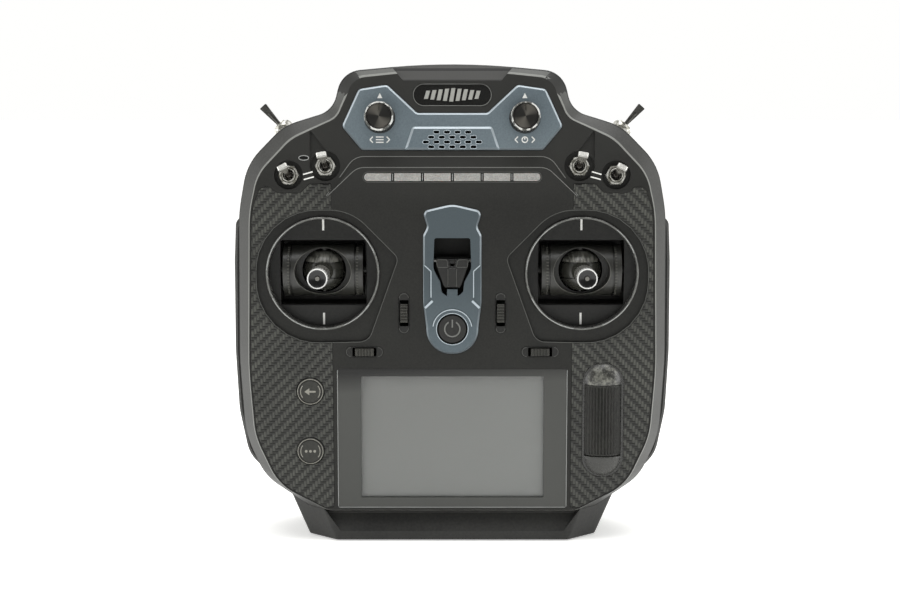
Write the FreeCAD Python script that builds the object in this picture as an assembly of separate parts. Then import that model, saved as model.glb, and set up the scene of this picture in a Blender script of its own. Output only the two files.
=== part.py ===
import FreeCAD, Part
import math
import os

V = FreeCAD.Vector

# ---------------------------------------------------------------------------
# Frame: +X to the user's right as seen from the front, the front faces -Y,
# +Z up, origin under the middle of the box. Millimetres.
# ---------------------------------------------------------------------------

# Depths along Y
STICK_TIP_Y = -43.0        # foremost point: the ends of the sticks
FACE_Y = -15.5             # flat front face
RIM_Y = -7.5               # widest edge of the front cover's bevel
PARTING_Y = -3.5           # where the two covers meet
SHOULDER_Y = 12.0          # where the rear cover starts to draw in
REAR_Y = 29.0              # rear wall
BACK_Y = 43.0              # rearmost point: the module bay cover

# Walls and gaps
FRONT_WALL = 3.0
WALL = 2.4
FIT = 0.1                  # gap between a part and the seat it is fixed in
RUN = 0.3                  # gap round a part that moves

# Heights
FOOT_TOP = 23.0
TILT_Z = 157.0             # the shoulders and console lean back above this
TILT = math.radians(6.0)

# Controls, right-hand side (x, z); the left is the mirror image
GIMBAL = (57.0, 121.3)
GIMBAL_Y = -3.5            # where a stick's two axes cross
RING_R = 25.0
RING_BORE_R = 24.0
RING_DROP = 0.7            # the ring and plate sit this much below the pivot
DRUM_R = 11.6
DRUM_HALF = 17.6
BALL_R = 9.6
STICK_R = 2.6
KNOB = (31.6, 188.5)
KNOB_R = 6.8
SWITCH_WELLS = ((55.5, 167.8, 6.6), (71.5, 163.9, 6.3))
SHOULDER_SWITCH = (74.2, 182.4)
TRIM_UP = (21.3, 103.2)
TRIM_FLAT = (38.8, 85.9)
ROUND_BUTTONS = ((-62.9, 68.2), (-63.1, 41.3))
BUTTON_R = 6.0
POWER = (0.0, 96.2)
ROLLER = (66.8, 55.3)
ROLLER_R = 10.5
ROLLER_HALF = 15.8

# Outlines, right half, as (x, z, corner radius) from the top middle down
RIM_HALF = (
    (0.0, 213.1, 300.0), (48.3, 208.7, 11.0), (52.4, 191.8, 11.0), (74.0, 185.2, 24.0),
    (90.5, 168.4, 27.0), (94.4, 147.0, 70.0), (95.0, 82.0, 200.0), (92.8, 47.0, 45.0),
    (84.3, 28.0, 24.0), (60.0, 11.5, 14.0),
)
FACE_HALF = (
    (0.0, 210.2, 300.0), (44.4, 205.6, 8.0), (49.8, 188.6, 11.0), (70.5, 179.4, 25.0),
    (85.4, 163.6, 20.0), (88.6, 148.0, 60.0), (89.9, 78.0, 150.0), (87.6, 48.0, 35.0),
    (77.4, 25.8, 24.0), (55.5, 14.4, 9.0),
)
BACK_HALF = (
    (0.0, 202.0, 300.0), (40.0, 199.0, 7.0), (45.0, 183.0, 7.0), (63.0, 176.0, 20.0),
    (78.0, 160.0, 18.0), (81.0, 143.0, 60.0), (82.0, 80.0, 150.0), (79.0, 50.0, 35.0),
    (69.0, 32.0, 20.0), (50.0, 17.0, 12.0),
)


# ---------------------------------------------------------------------------
# Geometry helpers
# ---------------------------------------------------------------------------

def mirrored(shape):
    """The shape's mirror image in the plane X = 0."""
    return shape.mirror(V(0, 0, 0), V(1, 0, 0))


def pair(shape):
    """A shape and its mirror image, as two separate solids."""
    return Part.makeCompound([shape, mirrored(shape)])


def whole(half):
    """A full outline from the corners of its right half."""
    left = [(-x, z, r) for x, z, r in reversed(half) if abs(x) > 1e-6]
    return list(half) + left


def inset(corners, distance):
    """The outline moved in by a distance, corner by corner."""
    moved = []
    count = len(corners)
    for i in range(count):
        before, here, after = corners[i - 1], corners[i], corners[(i + 1) % count]
        into = V(here[0] - before[0], 0, here[1] - before[1]).normalize()
        out = V(after[0] - here[0], 0, after[1] - here[1]).normalize()
        normal_in = V(-into.z, 0, into.x)
        normal_out = V(-out.z, 0, out.x)
        side = normal_in + normal_out
        step = distance * 2.0 / side.dot(side)
        turn = into.z * out.x - into.x * out.z
        radius = here[2] - distance if turn > 0 else here[2] + distance
        moved.append((here[0] - side.x * step, here[1] - side.z * step, max(radius, 0.4)))
    return moved


def edge_loop(corners, place):
    """A closed wire with a tangent arc at each corner that has a radius."""
    count = len(corners)
    points = [place(x, z) for x, z, r in corners]
    joins = []
    for i in range(count):
        here = points[i]
        back = points[i - 1] - here
        ahead = points[(i + 1) % count] - here
        turn = math.pi - back.getAngle(ahead)
        radius = corners[i][2]
        back.normalize()
        ahead.normalize()
        if radius <= 0 or turn < 1e-4:
            joins.append((here, None, here))
            continue
        reach = radius * math.tan(turn / 2.0)
        middle = (back + ahead).normalize() * (radius / math.cos(turn / 2.0) - radius)
        joins.append((here + back * reach, here + middle, here + ahead * reach))
    edges = []
    for i in range(count):
        start, middle, finish = joins[i]
        if middle is not None:
            edges.append(Part.Arc(start, middle, finish).toShape())
        following = joins[(i + 1) % count][0]
        if finish.distanceToPoint(following) > 1e-6:
            edges.append(Part.LineSegment(finish, following).toShape())
    return Part.Wire(edges)


def front_wire(corners, y):
    """An outline in X and Z, standing at a depth y."""
    return edge_loop(corners, lambda x, z: V(x, y, z))


def plate(corners, y0, y1):
    """A flat piece with an X-Z outline, from depth y0 to depth y1."""
    face = Part.Face(front_wire(corners, y0))
    return face.extrude(V(0, y1 - y0, 0))


def side_prism(corners, x0, x1):
    """A piece with a Y-Z outline, from x0 to x1."""
    face = Part.Face(edge_loop(corners, lambda y, z: V(x0, y, z)))
    return face.extrude(V(x1 - x0, 0, 0))


def blend(corners0, y0, corners1, y1):
    """A straight-sided loft between two outlines of the same make."""
    return Part.makeLoft([front_wire(corners0, y0), front_wire(corners1, y1)], True, True)


def block(x0, x1, y0, y1, z0, z1):
    return Part.makeBox(x1 - x0, y1 - y0, z1 - z0, V(x0, y0, z0))


def rectangle(x0, x1, z0, z1, radius=0.0):
    """Corners of a rectangle, each with the same radius."""
    return [(x0, z1, radius), (x1, z1, radius), (x1, z0, radius), (x0, z0, radius)]


def stub(x, z, radius, y0, y1):
    """A round piece along Y."""
    return Part.makeCylinder(radius, y1 - y0, V(x, y0, z), V(0, 1, 0))


def rod(start, direction, radius, length):
    return Part.makeCylinder(radius, length, start, direction)


def toothed(radius, depth, teeth, length):
    """A knurled round bar along +Z, standing on its origin."""
    corners = []
    for i in range(teeth * 2):
        angle = math.pi * i / teeth
        reach = radius if i % 2 == 0 else radius - depth
        corners.append(V(reach * math.cos(angle), reach * math.sin(angle), 0))
    corners.append(corners[0])
    return Part.Face(Part.makePolygon(corners)).extrude(V(0, 0, length))


def lay(shape, place, direction):
    """Turn a shape built along +Z to a direction and move it to its place."""
    turn = FreeCAD.Rotation(V(0, 0, 1), direction)
    laid = shape.copy()
    laid.Placement = FreeCAD.Placement(place, turn).multiply(shape.Placement)
    return laid


def depth_at(z):
    """Y of the front face at a height: it leans back above TILT_Z."""
    return FACE_Y + max(0.0, z - TILT_Z) * math.tan(TILT)


OUT = V(0, -math.cos(TILT), math.sin(TILT))      # outward normal of the leaning face
PARTS = {}


def keep(name, shape):
    """Record a finished sub-part under its name."""
    PARTS[name] = shape


# ---------------------------------------------------------------------------
# Outlines of the front's panels, (x, z, corner radius), clockwise
# ---------------------------------------------------------------------------
CONSOLE_HALF = (
    (15.3, 191.1, 2.0), (28.4, 203.4, 3.0), (40.9, 201.5, 2.5), (48.4, 185.1, 2.5), (39.7, 174.7, 2.5),
)
SPEAKER_HALF = ((17.4, 184.9, 1.6), (20.8, 174.75, 0.4))
BADGE = rectangle(-17.0, 17.0, 193.9, 203.3, 4.6)
BADGE_RECESS = inset(BADGE, -0.7)
BROW = (
    (-26.2, 218.0, 0), (26.2, 218.0, 0), (26.2, 210.8, 1), (21.4, 205.0, 1), (-21.4, 205.0, 1),
    (-26.2, 210.8, 1),
)
BROW_LOW = 205.0
BROW_TOP = 218.0
BROW_DEEP = 6.0
PANEL_TOP_HALF = ((41.5, 167.4, 8.0), (54.5, 155.0, 1.0), (54.5, 150.0, 1.0))
PANEL_FOOT_HALF = ((42.5, 171.7, 8.0), (54.6, 155.0, 1.0), (54.6, 150.0, 1.0))
LIGHT_BAR = rectangle(-38.5, 38.5, 161.2, 164.8, 1.7)
CENTRE_HALF = (
    (0.0, 151.3, 12.0), (13.2, 148.2, 2.5), (11.0, 141.2, 3.0), (12.9, 137.6, 3.0), (12.9, 107.5, 8.0),
    (11.6, 97.0, 8.0), (11.2, 85.0, 11.0),
)
HOOK_OPENING_HALF = (
    (7.9, 136.4, 1.0), (8.3, 122.8, 5.0), (5.3, 117.0, 1.5), (4.7, 112.6, 1.6), (2.6, 110.9, 1.5),
)
PLAQUE_FLANK = (
    (14.5, 125.8, 0.0), (12.7, 124.7, 0.0), (9.3, 121.9, 0.8), (9.3, 109.8, 0.8), (12.2, 105.2, 0.0),
    (14.5, 104.0, 0.0),
)
GLASS = rectangle(-51.1, 51.1, 15.4, 78.3, 1.2)
SCREEN_WINDOW = rectangle(-46.5, 46.5, 18.6, 76.2, 1.0)
DISH = (
    (23.6, 127.5, 4.0), (44.5, 148.6, 22.0), (86.2, 148.6, 27.0), (86.2, 89.4, 27.0), (36.9, 90.4, 6.0),
)
INLAY = (
    (53.0, 160.4, 1.0), (62.6, 159.9, 1.5), (66.2, 156.2, 1.5), (77.0, 156.2, 2.5), (82.8, 162.4, 4.0),
    (87.9, 148.0, 28.0), (89.3, 78.0, 150.0), (87.0, 48.2, 35.0), (77.0, 26.6, 22.0), (57.0, 15.6, 4.0),
    (52.6, 15.6, 1.0),
)
NOTCH = ((53.5, 173.0, 1.0), (62.2, 183.8, 0.4), (62.2, 167.0, 0.4), (55.5, 164.0, 1.0))
ROLLER_BEZEL = rectangle(57.7, 75.9, 29.8, 80.8, 8.6)
ROLLER_SLOT = rectangle(59.0, 74.6, 39.2, 71.4, 0.6)

PLAQUE_DEEP = 1.6
INLAY_THICK = 1.0
DISH_DEEP = 1.5
WELL_DEEP = 2.6
GLASS_DEEP = 2.0
CENTRE_DEEP = 1.4
ROLLER_AXIS_Y = FACE_Y + 7.3
TONGUE_HALF = 2.3          # the plaque's tongue under the strap hook
TONGUE_TOP = 113.9
USB_MOUTH = rectangle(-60.5, -51.5, 110.1, 113.7, 1.7)


def lean(shape):
    """Lay a shape made for the flat face onto the leaning one."""
    tilted = shape.copy()
    tilted.rotate(V(0, FACE_Y, TILT_Z), V(1, 0, 0), -math.degrees(TILT))
    return tilted


def raised_face():
    """Face corners before the lean is cut, so that its edge falls on FACE_HALF."""
    corners = []
    for (rim_x, rim_z, _), (x, z, r) in zip(RIM_HALF, FACE_HALF):
        left = 1.0 - (depth_at(z) - FACE_Y) / (RIM_Y - FACE_Y)
        corners.append((rim_x + (x - rim_x) / left, rim_z + (z - rim_z) / left, r))
    return whole(corners)


def lean_cutter(shift):
    """Everything in front of the leaning shoulders and console."""
    low = FACE_Y + shift
    high = depth_at(240.0) + shift
    section = [(low, TILT_Z, 0), (-60.0, TILT_Z, 0), (-60.0, 240.0, 0), (high, 240.0, 0)]
    wedge = side_prism(section, -120, 120)
    proud = blend(whole(PANEL_TOP_HALF), FACE_Y + shift, whole(PANEL_FOOT_HALF), depth_at(171.7) + shift)
    proud = proud.fuse(plate(whole(PANEL_TOP_HALF), -60.0, FACE_Y + shift))
    return wedge.cut(proud)


def front_body():
    """The front cover's outside as a solid: bevelled, with leaning shoulders."""
    rim = whole(RIM_HALF)
    bevel = blend(raised_face(), FACE_Y, rim, RIM_Y)
    side = plate(rim, RIM_Y, PARTING_Y)
    return bevel.fuse(side).cut(lean_cutter(0.0))


def front_hollow():
    rim = inset(whole(RIM_HALF), WALL)
    bevel = blend(inset(raised_face(), 0.8), FACE_Y + FRONT_WALL, rim, RIM_Y + 1.2)
    side = plate(rim, RIM_Y + 1.2, PARTING_Y + 1.0)
    behind_brow = lean(block(-28, 28, FACE_Y - 9, FACE_Y + 12, BROW_LOW - 1.5, 230))
    return bevel.fuse(side).cut([lean_cutter(FRONT_WALL), behind_brow])


def well_stub(x, z, radius, low, high):
    """A round piece square to the leaning face; low and high are heights above it."""
    return rod(V(x, depth_at(z), z) + OUT * low, OUT, radius, high - low)


def roller_room():
    """The round space that the thumb roller turns in."""
    return rod(V(ROLLER[0], ROLLER_AXIS_Y, 39.2), V(0, 0, 1), ROLLER_R + RUN, 32.2)


def front_cutters():
    """Every pocket, hole and slot in the front cover."""
    cuts = []
    console = whole(CONSOLE_HALF)
    cuts.append(lean(plate(console, FACE_Y - 9, FACE_Y + PLAQUE_DEEP)))
    cuts.append(lean(plate(BADGE_RECESS, FACE_Y - 9, FACE_Y + 0.35)))
    cuts.append(lean(plate(inset(BADGE, -FIT), FACE_Y - 9, FACE_Y + 1.8)))
    cuts.append(lean(plate(rectangle(-13, 13, 175.6, 183.4, 1.0), FACE_Y - 1, FACE_Y + 9)))
    brow = [(FACE_Y - 9, BROW_LOW, 0), (FACE_Y - 9, BROW_TOP, 0)]
    brow += [(FACE_Y + BROW_DEEP, BROW_TOP, 0), (FACE_Y, BROW_LOW, 0)]
    cuts.append(lean(side_prism(brow, -30, 30).common(plate(BROW, FACE_Y - 9, FACE_Y + 9))))
    cuts.append(plate(LIGHT_BAR, FACE_Y - 1, FACE_Y + 1.9))
    cuts.append(plate(whole(CENTRE_HALF), FACE_Y - 1, FACE_Y + CENTRE_DEEP))
    cuts.append(plate(whole(HOOK_OPENING_HALF), FACE_Y - 1, FACE_Y + 9))
    cuts.append(stub(POWER[0], POWER[1], 7.4, FACE_Y - 1, FACE_Y + 9))
    cuts.append(plate(GLASS, FACE_Y - 4, FACE_Y + GLASS_DEEP))
    cuts.append(plate(SCREEN_WINDOW, FACE_Y - 1, FACE_Y + 9))
    sides = [plate(DISH, FACE_Y - 1, FACE_Y + DISH_DEEP)]
    sides.append(lean(plate(NOTCH, FACE_Y - 4, FACE_Y + 1.1)).cut(plate(whole(PANEL_TOP_HALF), -30, 0)))
    sides.append(stub(GIMBAL[0], GIMBAL[1] - RING_DROP, RING_R + FIT, FACE_Y - 1, FACE_Y + 9))
    sides.append(plate(INLAY, FACE_Y - 6, FACE_Y + INLAY_THICK))
    for x, z, radius in SWITCH_WELLS:
        sides.append(well_stub(x, z, radius, -WELL_DEEP, 9.0))
        sides.append(well_stub(x, z, 3.0, -9.0, 1.0))
    sides.append(well_stub(KNOB[0], KNOB[1], 4.3, -9.0, 1.0))
    x, z = TRIM_UP
    sides.append(plate(rectangle(x - 2.3, x + 2.3, z - 8.9, z + 8.9, 2.2), FACE_Y - 1, FACE_Y + 1.0))
    sides.append(plate(rectangle(x - 2.0, x + 2.0, z - 5.8, z + 5.8, 0.4), FACE_Y - 1, FACE_Y + 9))
    x, z = TRIM_FLAT
    sides.append(plate(rectangle(x - 8.2, x + 8.2, z - 2.3, z + 2.3, 2.2), FACE_Y - 1, FACE_Y + 1.0))
    sides.append(plate(rectangle(x - 5.3, x + 5.3, z - 2.0, z + 2.0, 0.4), FACE_Y - 1, FACE_Y + 9))
    for cutter in sides:
        cuts.append(cutter)
        cuts.append(mirrored(cutter))
    for x, z in ROUND_BUTTONS:
        cuts.append(stub(x, z, BUTTON_R + RUN, FACE_Y - 1, FACE_Y + 9))
    cuts.append(plate(ROLLER_SLOT, FACE_Y - 1, FACE_Y + 9))
    cuts.append(roller_room())
    return cuts


def make_front_cover():
    body = front_body().cut(front_hollow())
    body = body.cut(front_cutters())
    for x, z, radius in SWITCH_WELLS:
        cup = well_stub(x, z, radius + 1.4, -WELL_DEEP - 1.6, -1.0)
        cup = cup.cut([well_stub(x, z, radius, -WELL_DEEP, 1.0), well_stub(x, z, 3.0, -9.0, 1.0)])
        body = body.fuse([cup, mirrored(cup)])
    keep("front_cover", body)


def rear_body(gap=0.0):
    """The rear cover's outside as a solid, grown all round by a gap."""
    rim = inset(whole(RIM_HALF), -gap)
    back = inset(whole(BACK_HALF), -gap)
    return plate(rim, PARTING_Y, SHOULDER_Y).fuse(blend(rim, SHOULDER_Y, back, REAR_Y + gap))


# ---------------------------------------------------------------------------
# Rear cover, foot and grips
# ---------------------------------------------------------------------------
MODULE_HUMP = rectangle(-36.0, 36.0, 94.0, 172.0, 6.0)
MODULE_MOUTH = rectangle(-29.0, 29.0, 101.0, 165.0, 3.0)
MODULE_BACK = 40.2
BATTERY_HUMP = rectangle(-43.0, 43.0, 24.0, 77.0, 6.0)
BATTERY_MOUTH = rectangle(-37.0, 37.0, 30.0, 71.0, 3.0)
BATTERY_BACK = 36.4
SCREW_PLACES = ((56.0, 164.0), (72.0, 148.0), (74.0, 84.0), (62.0, 46.0))
SHOULDER_Y_MID = 3.2
SHOULDER_ANGLE = math.radians(48.0)
SHOULDER_DIR = V(math.cos(SHOULDER_ANGLE), 0, math.sin(SHOULDER_ANGLE))
SHOULDER_SEAT = V(SHOULDER_SWITCH[0], SHOULDER_Y_MID, SHOULDER_SWITCH[1])


def make_rear_cover():
    body = rear_body()
    body = body.fuse([
        plate(MODULE_HUMP, REAR_Y - 6, MODULE_BACK),
        plate(BATTERY_HUMP, REAR_Y - 6, BATTERY_BACK),
    ])
    seat = rod(SHOULDER_SEAT - SHOULDER_DIR * 7.4, SHOULDER_DIR, 5.4, 7.4)
    body = body.fuse([seat, mirrored(seat)])
    rim = inset(whole(RIM_HALF), WALL)
    back = inset(whole(BACK_HALF), WALL)
    hollow = plate(rim, PARTING_Y - 1, SHOULDER_Y - 1)
    hollow = hollow.fuse([
        blend(rim, SHOULDER_Y - 1, back, REAR_Y - WALL),
        plate(inset(MODULE_HUMP, WALL), REAR_Y - 8, MODULE_BACK - WALL),
        plate(inset(BATTERY_HUMP, WALL), REAR_Y - 8, BATTERY_BACK - WALL),
    ])
    cap = rod(SHOULDER_SEAT - SHOULDER_DIR * 7.4, SHOULDER_DIR, 5.4, 7.4)
    hollow = hollow.cut([cap, mirrored(cap)])
    cuts = [hollow, plate(MODULE_MOUTH, REAR_Y, BACK_Y), plate(BATTERY_MOUTH, REAR_Y, BACK_Y)]
    cuts.append(plate(USB_MOUTH, REAR_Y - 5, REAR_Y + 1))
    bore = rod(SHOULDER_SEAT - SHOULDER_DIR * 12, SHOULDER_DIR, 3.0, 14.0)
    spot = rod(SHOULDER_SEAT, SHOULDER_DIR, 5.4, 3.0)
    cuts.extend([bore, mirrored(bore), spot, mirrored(spot)])
    for x, z in SCREW_PLACES:
        hole = stub(x, z, 3.1, REAR_Y - 1.0, REAR_Y + 1).fuse(stub(x, z, 1.6, REAR_Y - 9, REAR_Y))
        cuts.extend([hole, mirrored(hole)])
    keep("rear_cover", body.cut(cuts))


def make_case_screws():
    heads = []
    for x, z in SCREW_PLACES:
        screw = stub(x, z, 2.8, REAR_Y - 1.0, REAR_Y + 0.2).fuse(stub(x, z, 1.45, REAR_Y - 8, REAR_Y - 1.0))
        cross = block(x - 1.7, x + 1.7, REAR_Y - 0.6, REAR_Y + 1, z - 0.35, z + 0.35)
        cross = cross.fuse(block(x - 0.35, x + 0.35, REAR_Y - 0.6, REAR_Y + 1, z - 1.7, z + 1.7))
        screw = screw.cut(cross)
        heads.extend([screw, mirrored(screw)])
    keep("case_screws", Part.makeCompound(heads))


def make_rear_doors():
    cover = plate(inset(MODULE_HUMP, 0.8), MODULE_BACK + 0.05, BACK_Y - 0.8)
    cover = cover.fuse([
        blend(inset(MODULE_HUMP, 0.8), BACK_Y - 0.8, inset(MODULE_HUMP, 1.8), BACK_Y),
        plate(inset(MODULE_MOUTH, 0.25), MODULE_BACK - 2.0, MODULE_BACK + 0.1),
    ])
    slots = [plate(rectangle(-16, 16, z - 0.9, z + 0.9, 0.8), BACK_Y - 1.0, BACK_Y + 1)
             for z in (104.0, 108.0, 112.0)]
    slots.append(plate(rectangle(-24, 24, 122, 160, 4.0), BACK_Y - 0.6, BACK_Y + 1))
    keep("module_bay_cover", cover.cut(slots))
    door = plate(inset(BATTERY_HUMP, 0.8), BATTERY_BACK + 0.05, BATTERY_BACK + 2.0)
    door = door.fuse([
        blend(inset(BATTERY_HUMP, 0.8), BATTERY_BACK + 2.0, inset(BATTERY_HUMP, 1.8), BATTERY_BACK + 2.8),
        plate(inset(BATTERY_MOUTH, 0.25), BATTERY_BACK - 2.0, BATTERY_BACK + 0.1),
    ])
    slots = [plate(rectangle(-14, 14, z - 0.8, z + 0.8, 0.7), BATTERY_BACK + 1.8, BACK_Y)
             for z in (62.0, 65.5, 69.0)]
    keep("battery_cover", door.cut(slots))


FOOT_LOW = (
    (-51.8, -14.5, 2.0), (-65.1, -3.0, 3.0), (-65.1, 37.5, 5.0), (65.1, 37.5, 5.0), (65.1, -3.0, 3.0),
    (51.8, -14.5, 2.0),
)
FOOT_HIGH = (
    (-60.6, -14.5, 2.0), (-75.1, -1.5, 3.0), (-75.1, 33.0, 5.0), (75.1, 33.0, 5.0), (75.1, -1.5, 3.0),
    (60.6, -14.5, 2.0),
)
FOOT_HOLLOW = ((-66.8, 28.0, 0), (66.8, 28.0, 0), (48.9, 3.0, 0), (-48.9, 3.0, 0))
FOOT_BASE = 0.6
PAD_R = 5.0
PAD_PLACES = ((45.0, -5.5), (50.0, 29.0))


def foot_loft(gap):
    low = edge_loop(inset(FOOT_LOW, gap), lambda x, y: V(x, y, FOOT_BASE))
    high = edge_loop(inset(FOOT_HIGH, gap), lambda x, y: V(x, y, FOOT_TOP))
    return Part.makeLoft([low, high], True, True)


def make_foot():
    foot = foot_loft(0.0)
    section = [(-20, 3.9, 0), (-14.8, 3.9, 0), (-10.6, 12.0, 0), (-10.6, 27.0, 0), (-20, 27.0, 0)]
    hollow_front = side_prism(section, -70, 70).common(plate(FOOT_HOLLOW, -20, 0))
    rim = inset(whole(RIM_HALF), -FIT)
    front = blend(inset(raised_face(), -FIT), FACE_Y, rim, RIM_Y).fuse(plate(rim, RIM_Y, PARTING_Y + 0.1))
    cuts = [hollow_front, rear_body(FIT), front]
    cuts.append(block(-47, 47, -8.0, 33.0, 3.2, 30.0))
    for x, y in PAD_PLACES:
        pocket = Part.makeCylinder(PAD_R + FIT, 2.0, V(x, y, 0))
        cuts.extend([pocket, mirrored(pocket)])
    keep("base_foot", foot.cut(cuts))
    pads = []
    for x, y in PAD_PLACES:
        pad = Part.makeCylinder(PAD_R, 1.95, V(x, y, 0))
        pads.extend([pad, mirrored(pad)])
    keep("foot_pads", Part.makeCompound(pads))


GRIP_EDGE = (
    (80.0, 143.0, 2.0), (95.4, 142.0, 3.0), (96.0, 125.0, 60.0), (96.4, 84.0, 100.0), (95.0, 58.0, 40.0),
    (91.2, 38.5, 16.0), (84.0, 29.8, 3.0), (72.0, 40.0, 3.0),
)
GRIP_FULL = (
    (80.0, 145.5, 2.0), (96.9, 144.4, 4.0), (97.8, 125.0, 60.0), (98.0, 84.0, 100.0), (96.7, 57.0, 40.0),
    (92.6, 36.6, 16.0), (84.0, 27.4, 3.0), (72.0, 38.0, 3.0),
)
GRIP_BACK = (
    (68.0, 144.5, 2.0), (83.6, 143.2, 4.0), (85.0, 125.0, 60.0), (85.4, 84.0, 100.0), (83.6, 57.0, 40.0),
    (78.0, 38.6, 16.0), (71.0, 31.0, 3.0), (62.0, 41.0, 3.0),
)
GRIP_Y = (-3.4, 1.5, 13.0, 27.6)


def make_grips():
    grip = blend(GRIP_EDGE, GRIP_Y[0], GRIP_FULL, GRIP_Y[1]).fuse([
        plate(GRIP_FULL, GRIP_Y[1], GRIP_Y[2]),
        blend(GRIP_FULL, GRIP_Y[2], GRIP_BACK, GRIP_Y[3]),
    ])
    grip = grip.cut([rear_body(FIT), foot_loft(-0.3)])
    keep("grips", pair(grip))


# ---------------------------------------------------------------------------
# Panels and trim on the front
# ---------------------------------------------------------------------------

def grille_slots():
    slots = []
    for count, z in ((4, 182.5), (5, 180.3), (6, 178.2), (5, 176.1)):
        for i in range(count):
            x = (i - (count - 1) / 2.0) * 4.6
            slot = rectangle(x - 1.25, x + 1.25, z - 0.6, z + 0.6, 0.55)
            slots.append(plate(slot, FACE_Y - 4, FACE_Y + 5))
    return slots


def make_console_plaque():
    outline = inset(whole(CONSOLE_HALF), FIT)
    face = blend(inset(outline, 0.9), FACE_Y - 0.6, outline, FACE_Y + 0.2)
    speaker = blend(inset(whole(SPEAKER_HALF), 1.0), FACE_Y - 1.2, whole(SPEAKER_HALF), FACE_Y - 0.6)
    plaque = face.fuse([plate(outline, FACE_Y + 0.2, FACE_Y + PLAQUE_DEEP), speaker])
    cuts = grille_slots()
    for side in (-1, 1):
        cuts.append(stub(side * KNOB[0], KNOB[1], 4.4, FACE_Y - 4, FACE_Y + 5))
    keep("console_plaque", lean(plaque.cut(cuts)))


def make_badge():
    keep("badge_window", lean(plate(BADGE, FACE_Y + 0.5, FACE_Y + 1.8)))


def make_light_bar():
    bar = plate(inset(LIGHT_BAR, FIT), FACE_Y - 0.3, FACE_Y + 1.9)
    segments = 6
    pitch = 13.0
    gap = 1.4
    gaps = []
    for i in range(1, segments):
        x = (i - segments / 2.0) * pitch
        gaps.append(block(x - gap / 2, x + gap / 2, FACE_Y - 2, FACE_Y + 3, 155, 170))
    keep("light_bar", bar.cut(gaps))


def make_centre_plaque():
    outline = inset(whole(CENTRE_HALF), FIT)
    plaque = blend(inset(outline, 0.8), FACE_Y - 0.9, outline, FACE_Y - 0.2)
    plaque = plaque.fuse(plate(outline, FACE_Y - 0.2, FACE_Y + CENTRE_DEEP))
    groove = stub(POWER[0], POWER[1], 9.2, FACE_Y - 2, FACE_Y - 0.6)
    groove = groove.cut(stub(POWER[0], POWER[1], 8.7, FACE_Y - 2, FACE_Y))
    groove = groove.common(block(-12, 12, FACE_Y - 3, FACE_Y, POWER[1] + 1.5, POWER[1] + 12))
    tongue = block(-TONGUE_HALF, TONGUE_HALF, FACE_Y - 3, FACE_Y + 6, 110.0, TONGUE_TOP)
    opening = plate(whole(HOOK_OPENING_HALF), FACE_Y - 2, FACE_Y + 5).cut(tongue)
    flank = plate(PLAQUE_FLANK, FACE_Y - 3, FACE_Y - 0.5)
    hole = stub(POWER[0], POWER[1], 6.8, FACE_Y - 2, FACE_Y + 5)
    keep("centre_plaque", plaque.cut([opening, hole, groove, flank, mirrored(flank)]))


def make_screen():
    gasket = plate(inset(GLASS, FIT), FACE_Y + 1.7, FACE_Y + GLASS_DEEP)
    keep("screen_gasket", gasket.cut(plate(SCREEN_WINDOW, FACE_Y, FACE_Y + 5)))
    keep("screen_glass", plate(inset(GLASS, 0.15), FACE_Y + 0.35, FACE_Y + 1.7))
    keep("lcd_panel", plate(rectangle(-40.6, 40.6, 20.1, 74.9), FACE_Y + 1.75, FACE_Y + 2.6))
    keep("lcd_module", plate(rectangle(-45.8, 45.8, 19.2, 75.6, 1.0), FACE_Y + 2.6, FACE_Y + 7.5))


def make_side_panels():
    panel = plate(inset(INLAY, 0.15), FACE_Y + 0.02, FACE_Y + INLAY_THICK)
    panel = panel.cut(plate(inset(DISH, -0.3), FACE_Y - 2, FACE_Y + 2))
    for x, z, radius in SWITCH_WELLS:
        panel = panel.cut(well_stub(x, z, radius + 1.6, -8.0, 4.0))
    left = mirrored(panel)
    for x, z in ROUND_BUTTONS:
        left = left.cut(stub(x, z, BUTTON_R + RUN, FACE_Y - 2, FACE_Y + 3))
    right = panel.cut(plate(inset(ROLLER_BEZEL, -0.15), FACE_Y - 3, FACE_Y + 3))
    keep("side_panels", Part.makeCompound([left, right]))


def make_roller_bezel():
    x, middle = ROLLER
    rim = plate(ROLLER_BEZEL, FACE_Y + 0.02, FACE_Y + INLAY_THICK)
    slot = plate(ROLLER_SLOT, FACE_Y - 6, FACE_Y + 6)
    half = 16.1
    arc = Part.Arc(V(10.9, 0, half), V(9.9, 0, 21.6), V(7.4, 0, 25.0)).toShape()
    lines = [V(7.4, 0, 25.0), V(0, 0, 25.0), V(0, 0, half), V(10.9, 0, half)]
    profile = Part.Wire([arc] + [Part.LineSegment(a, b).toShape() for a, b in zip(lines, lines[1:])])
    dome = Part.Face(profile).revolve(V(0, 0, 0), V(0, 0, 1), 360)
    dome.translate(V(x, ROLLER_AXIS_Y, middle))
    under = dome.mirror(V(0, 0, middle), V(0, 0, 1))
    front = block(x - 20, x + 20, FACE_Y - 6, FACE_Y + INLAY_THICK, middle - 40, middle + 40)
    domes = [shape.common(front) for shape in (dome, under)]
    keep("roller_bezel", rim.cut([slot, roller_room()]).fuse(domes))


# ---------------------------------------------------------------------------
# Stick gimbals. Each is built round its pivot at the origin, facing -Y.
# ---------------------------------------------------------------------------
AXLE_R = 2.0
AXLE_GAP = 0.06
CHEEK_IN = 19.6
CHEEK_OUT = 22.2
FRAME_Y = (-4.5, 15.5)
PLATE_Y = (-6.0, -4.6)
STICK_END_R = 4.4
STICK_END_LONG = 17.0


def at_gimbal(shape, side):
    copy = shape.copy()
    copy.translate(V(side * GIMBAL[0], GIMBAL_Y, GIMBAL[1]))
    return copy


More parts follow.
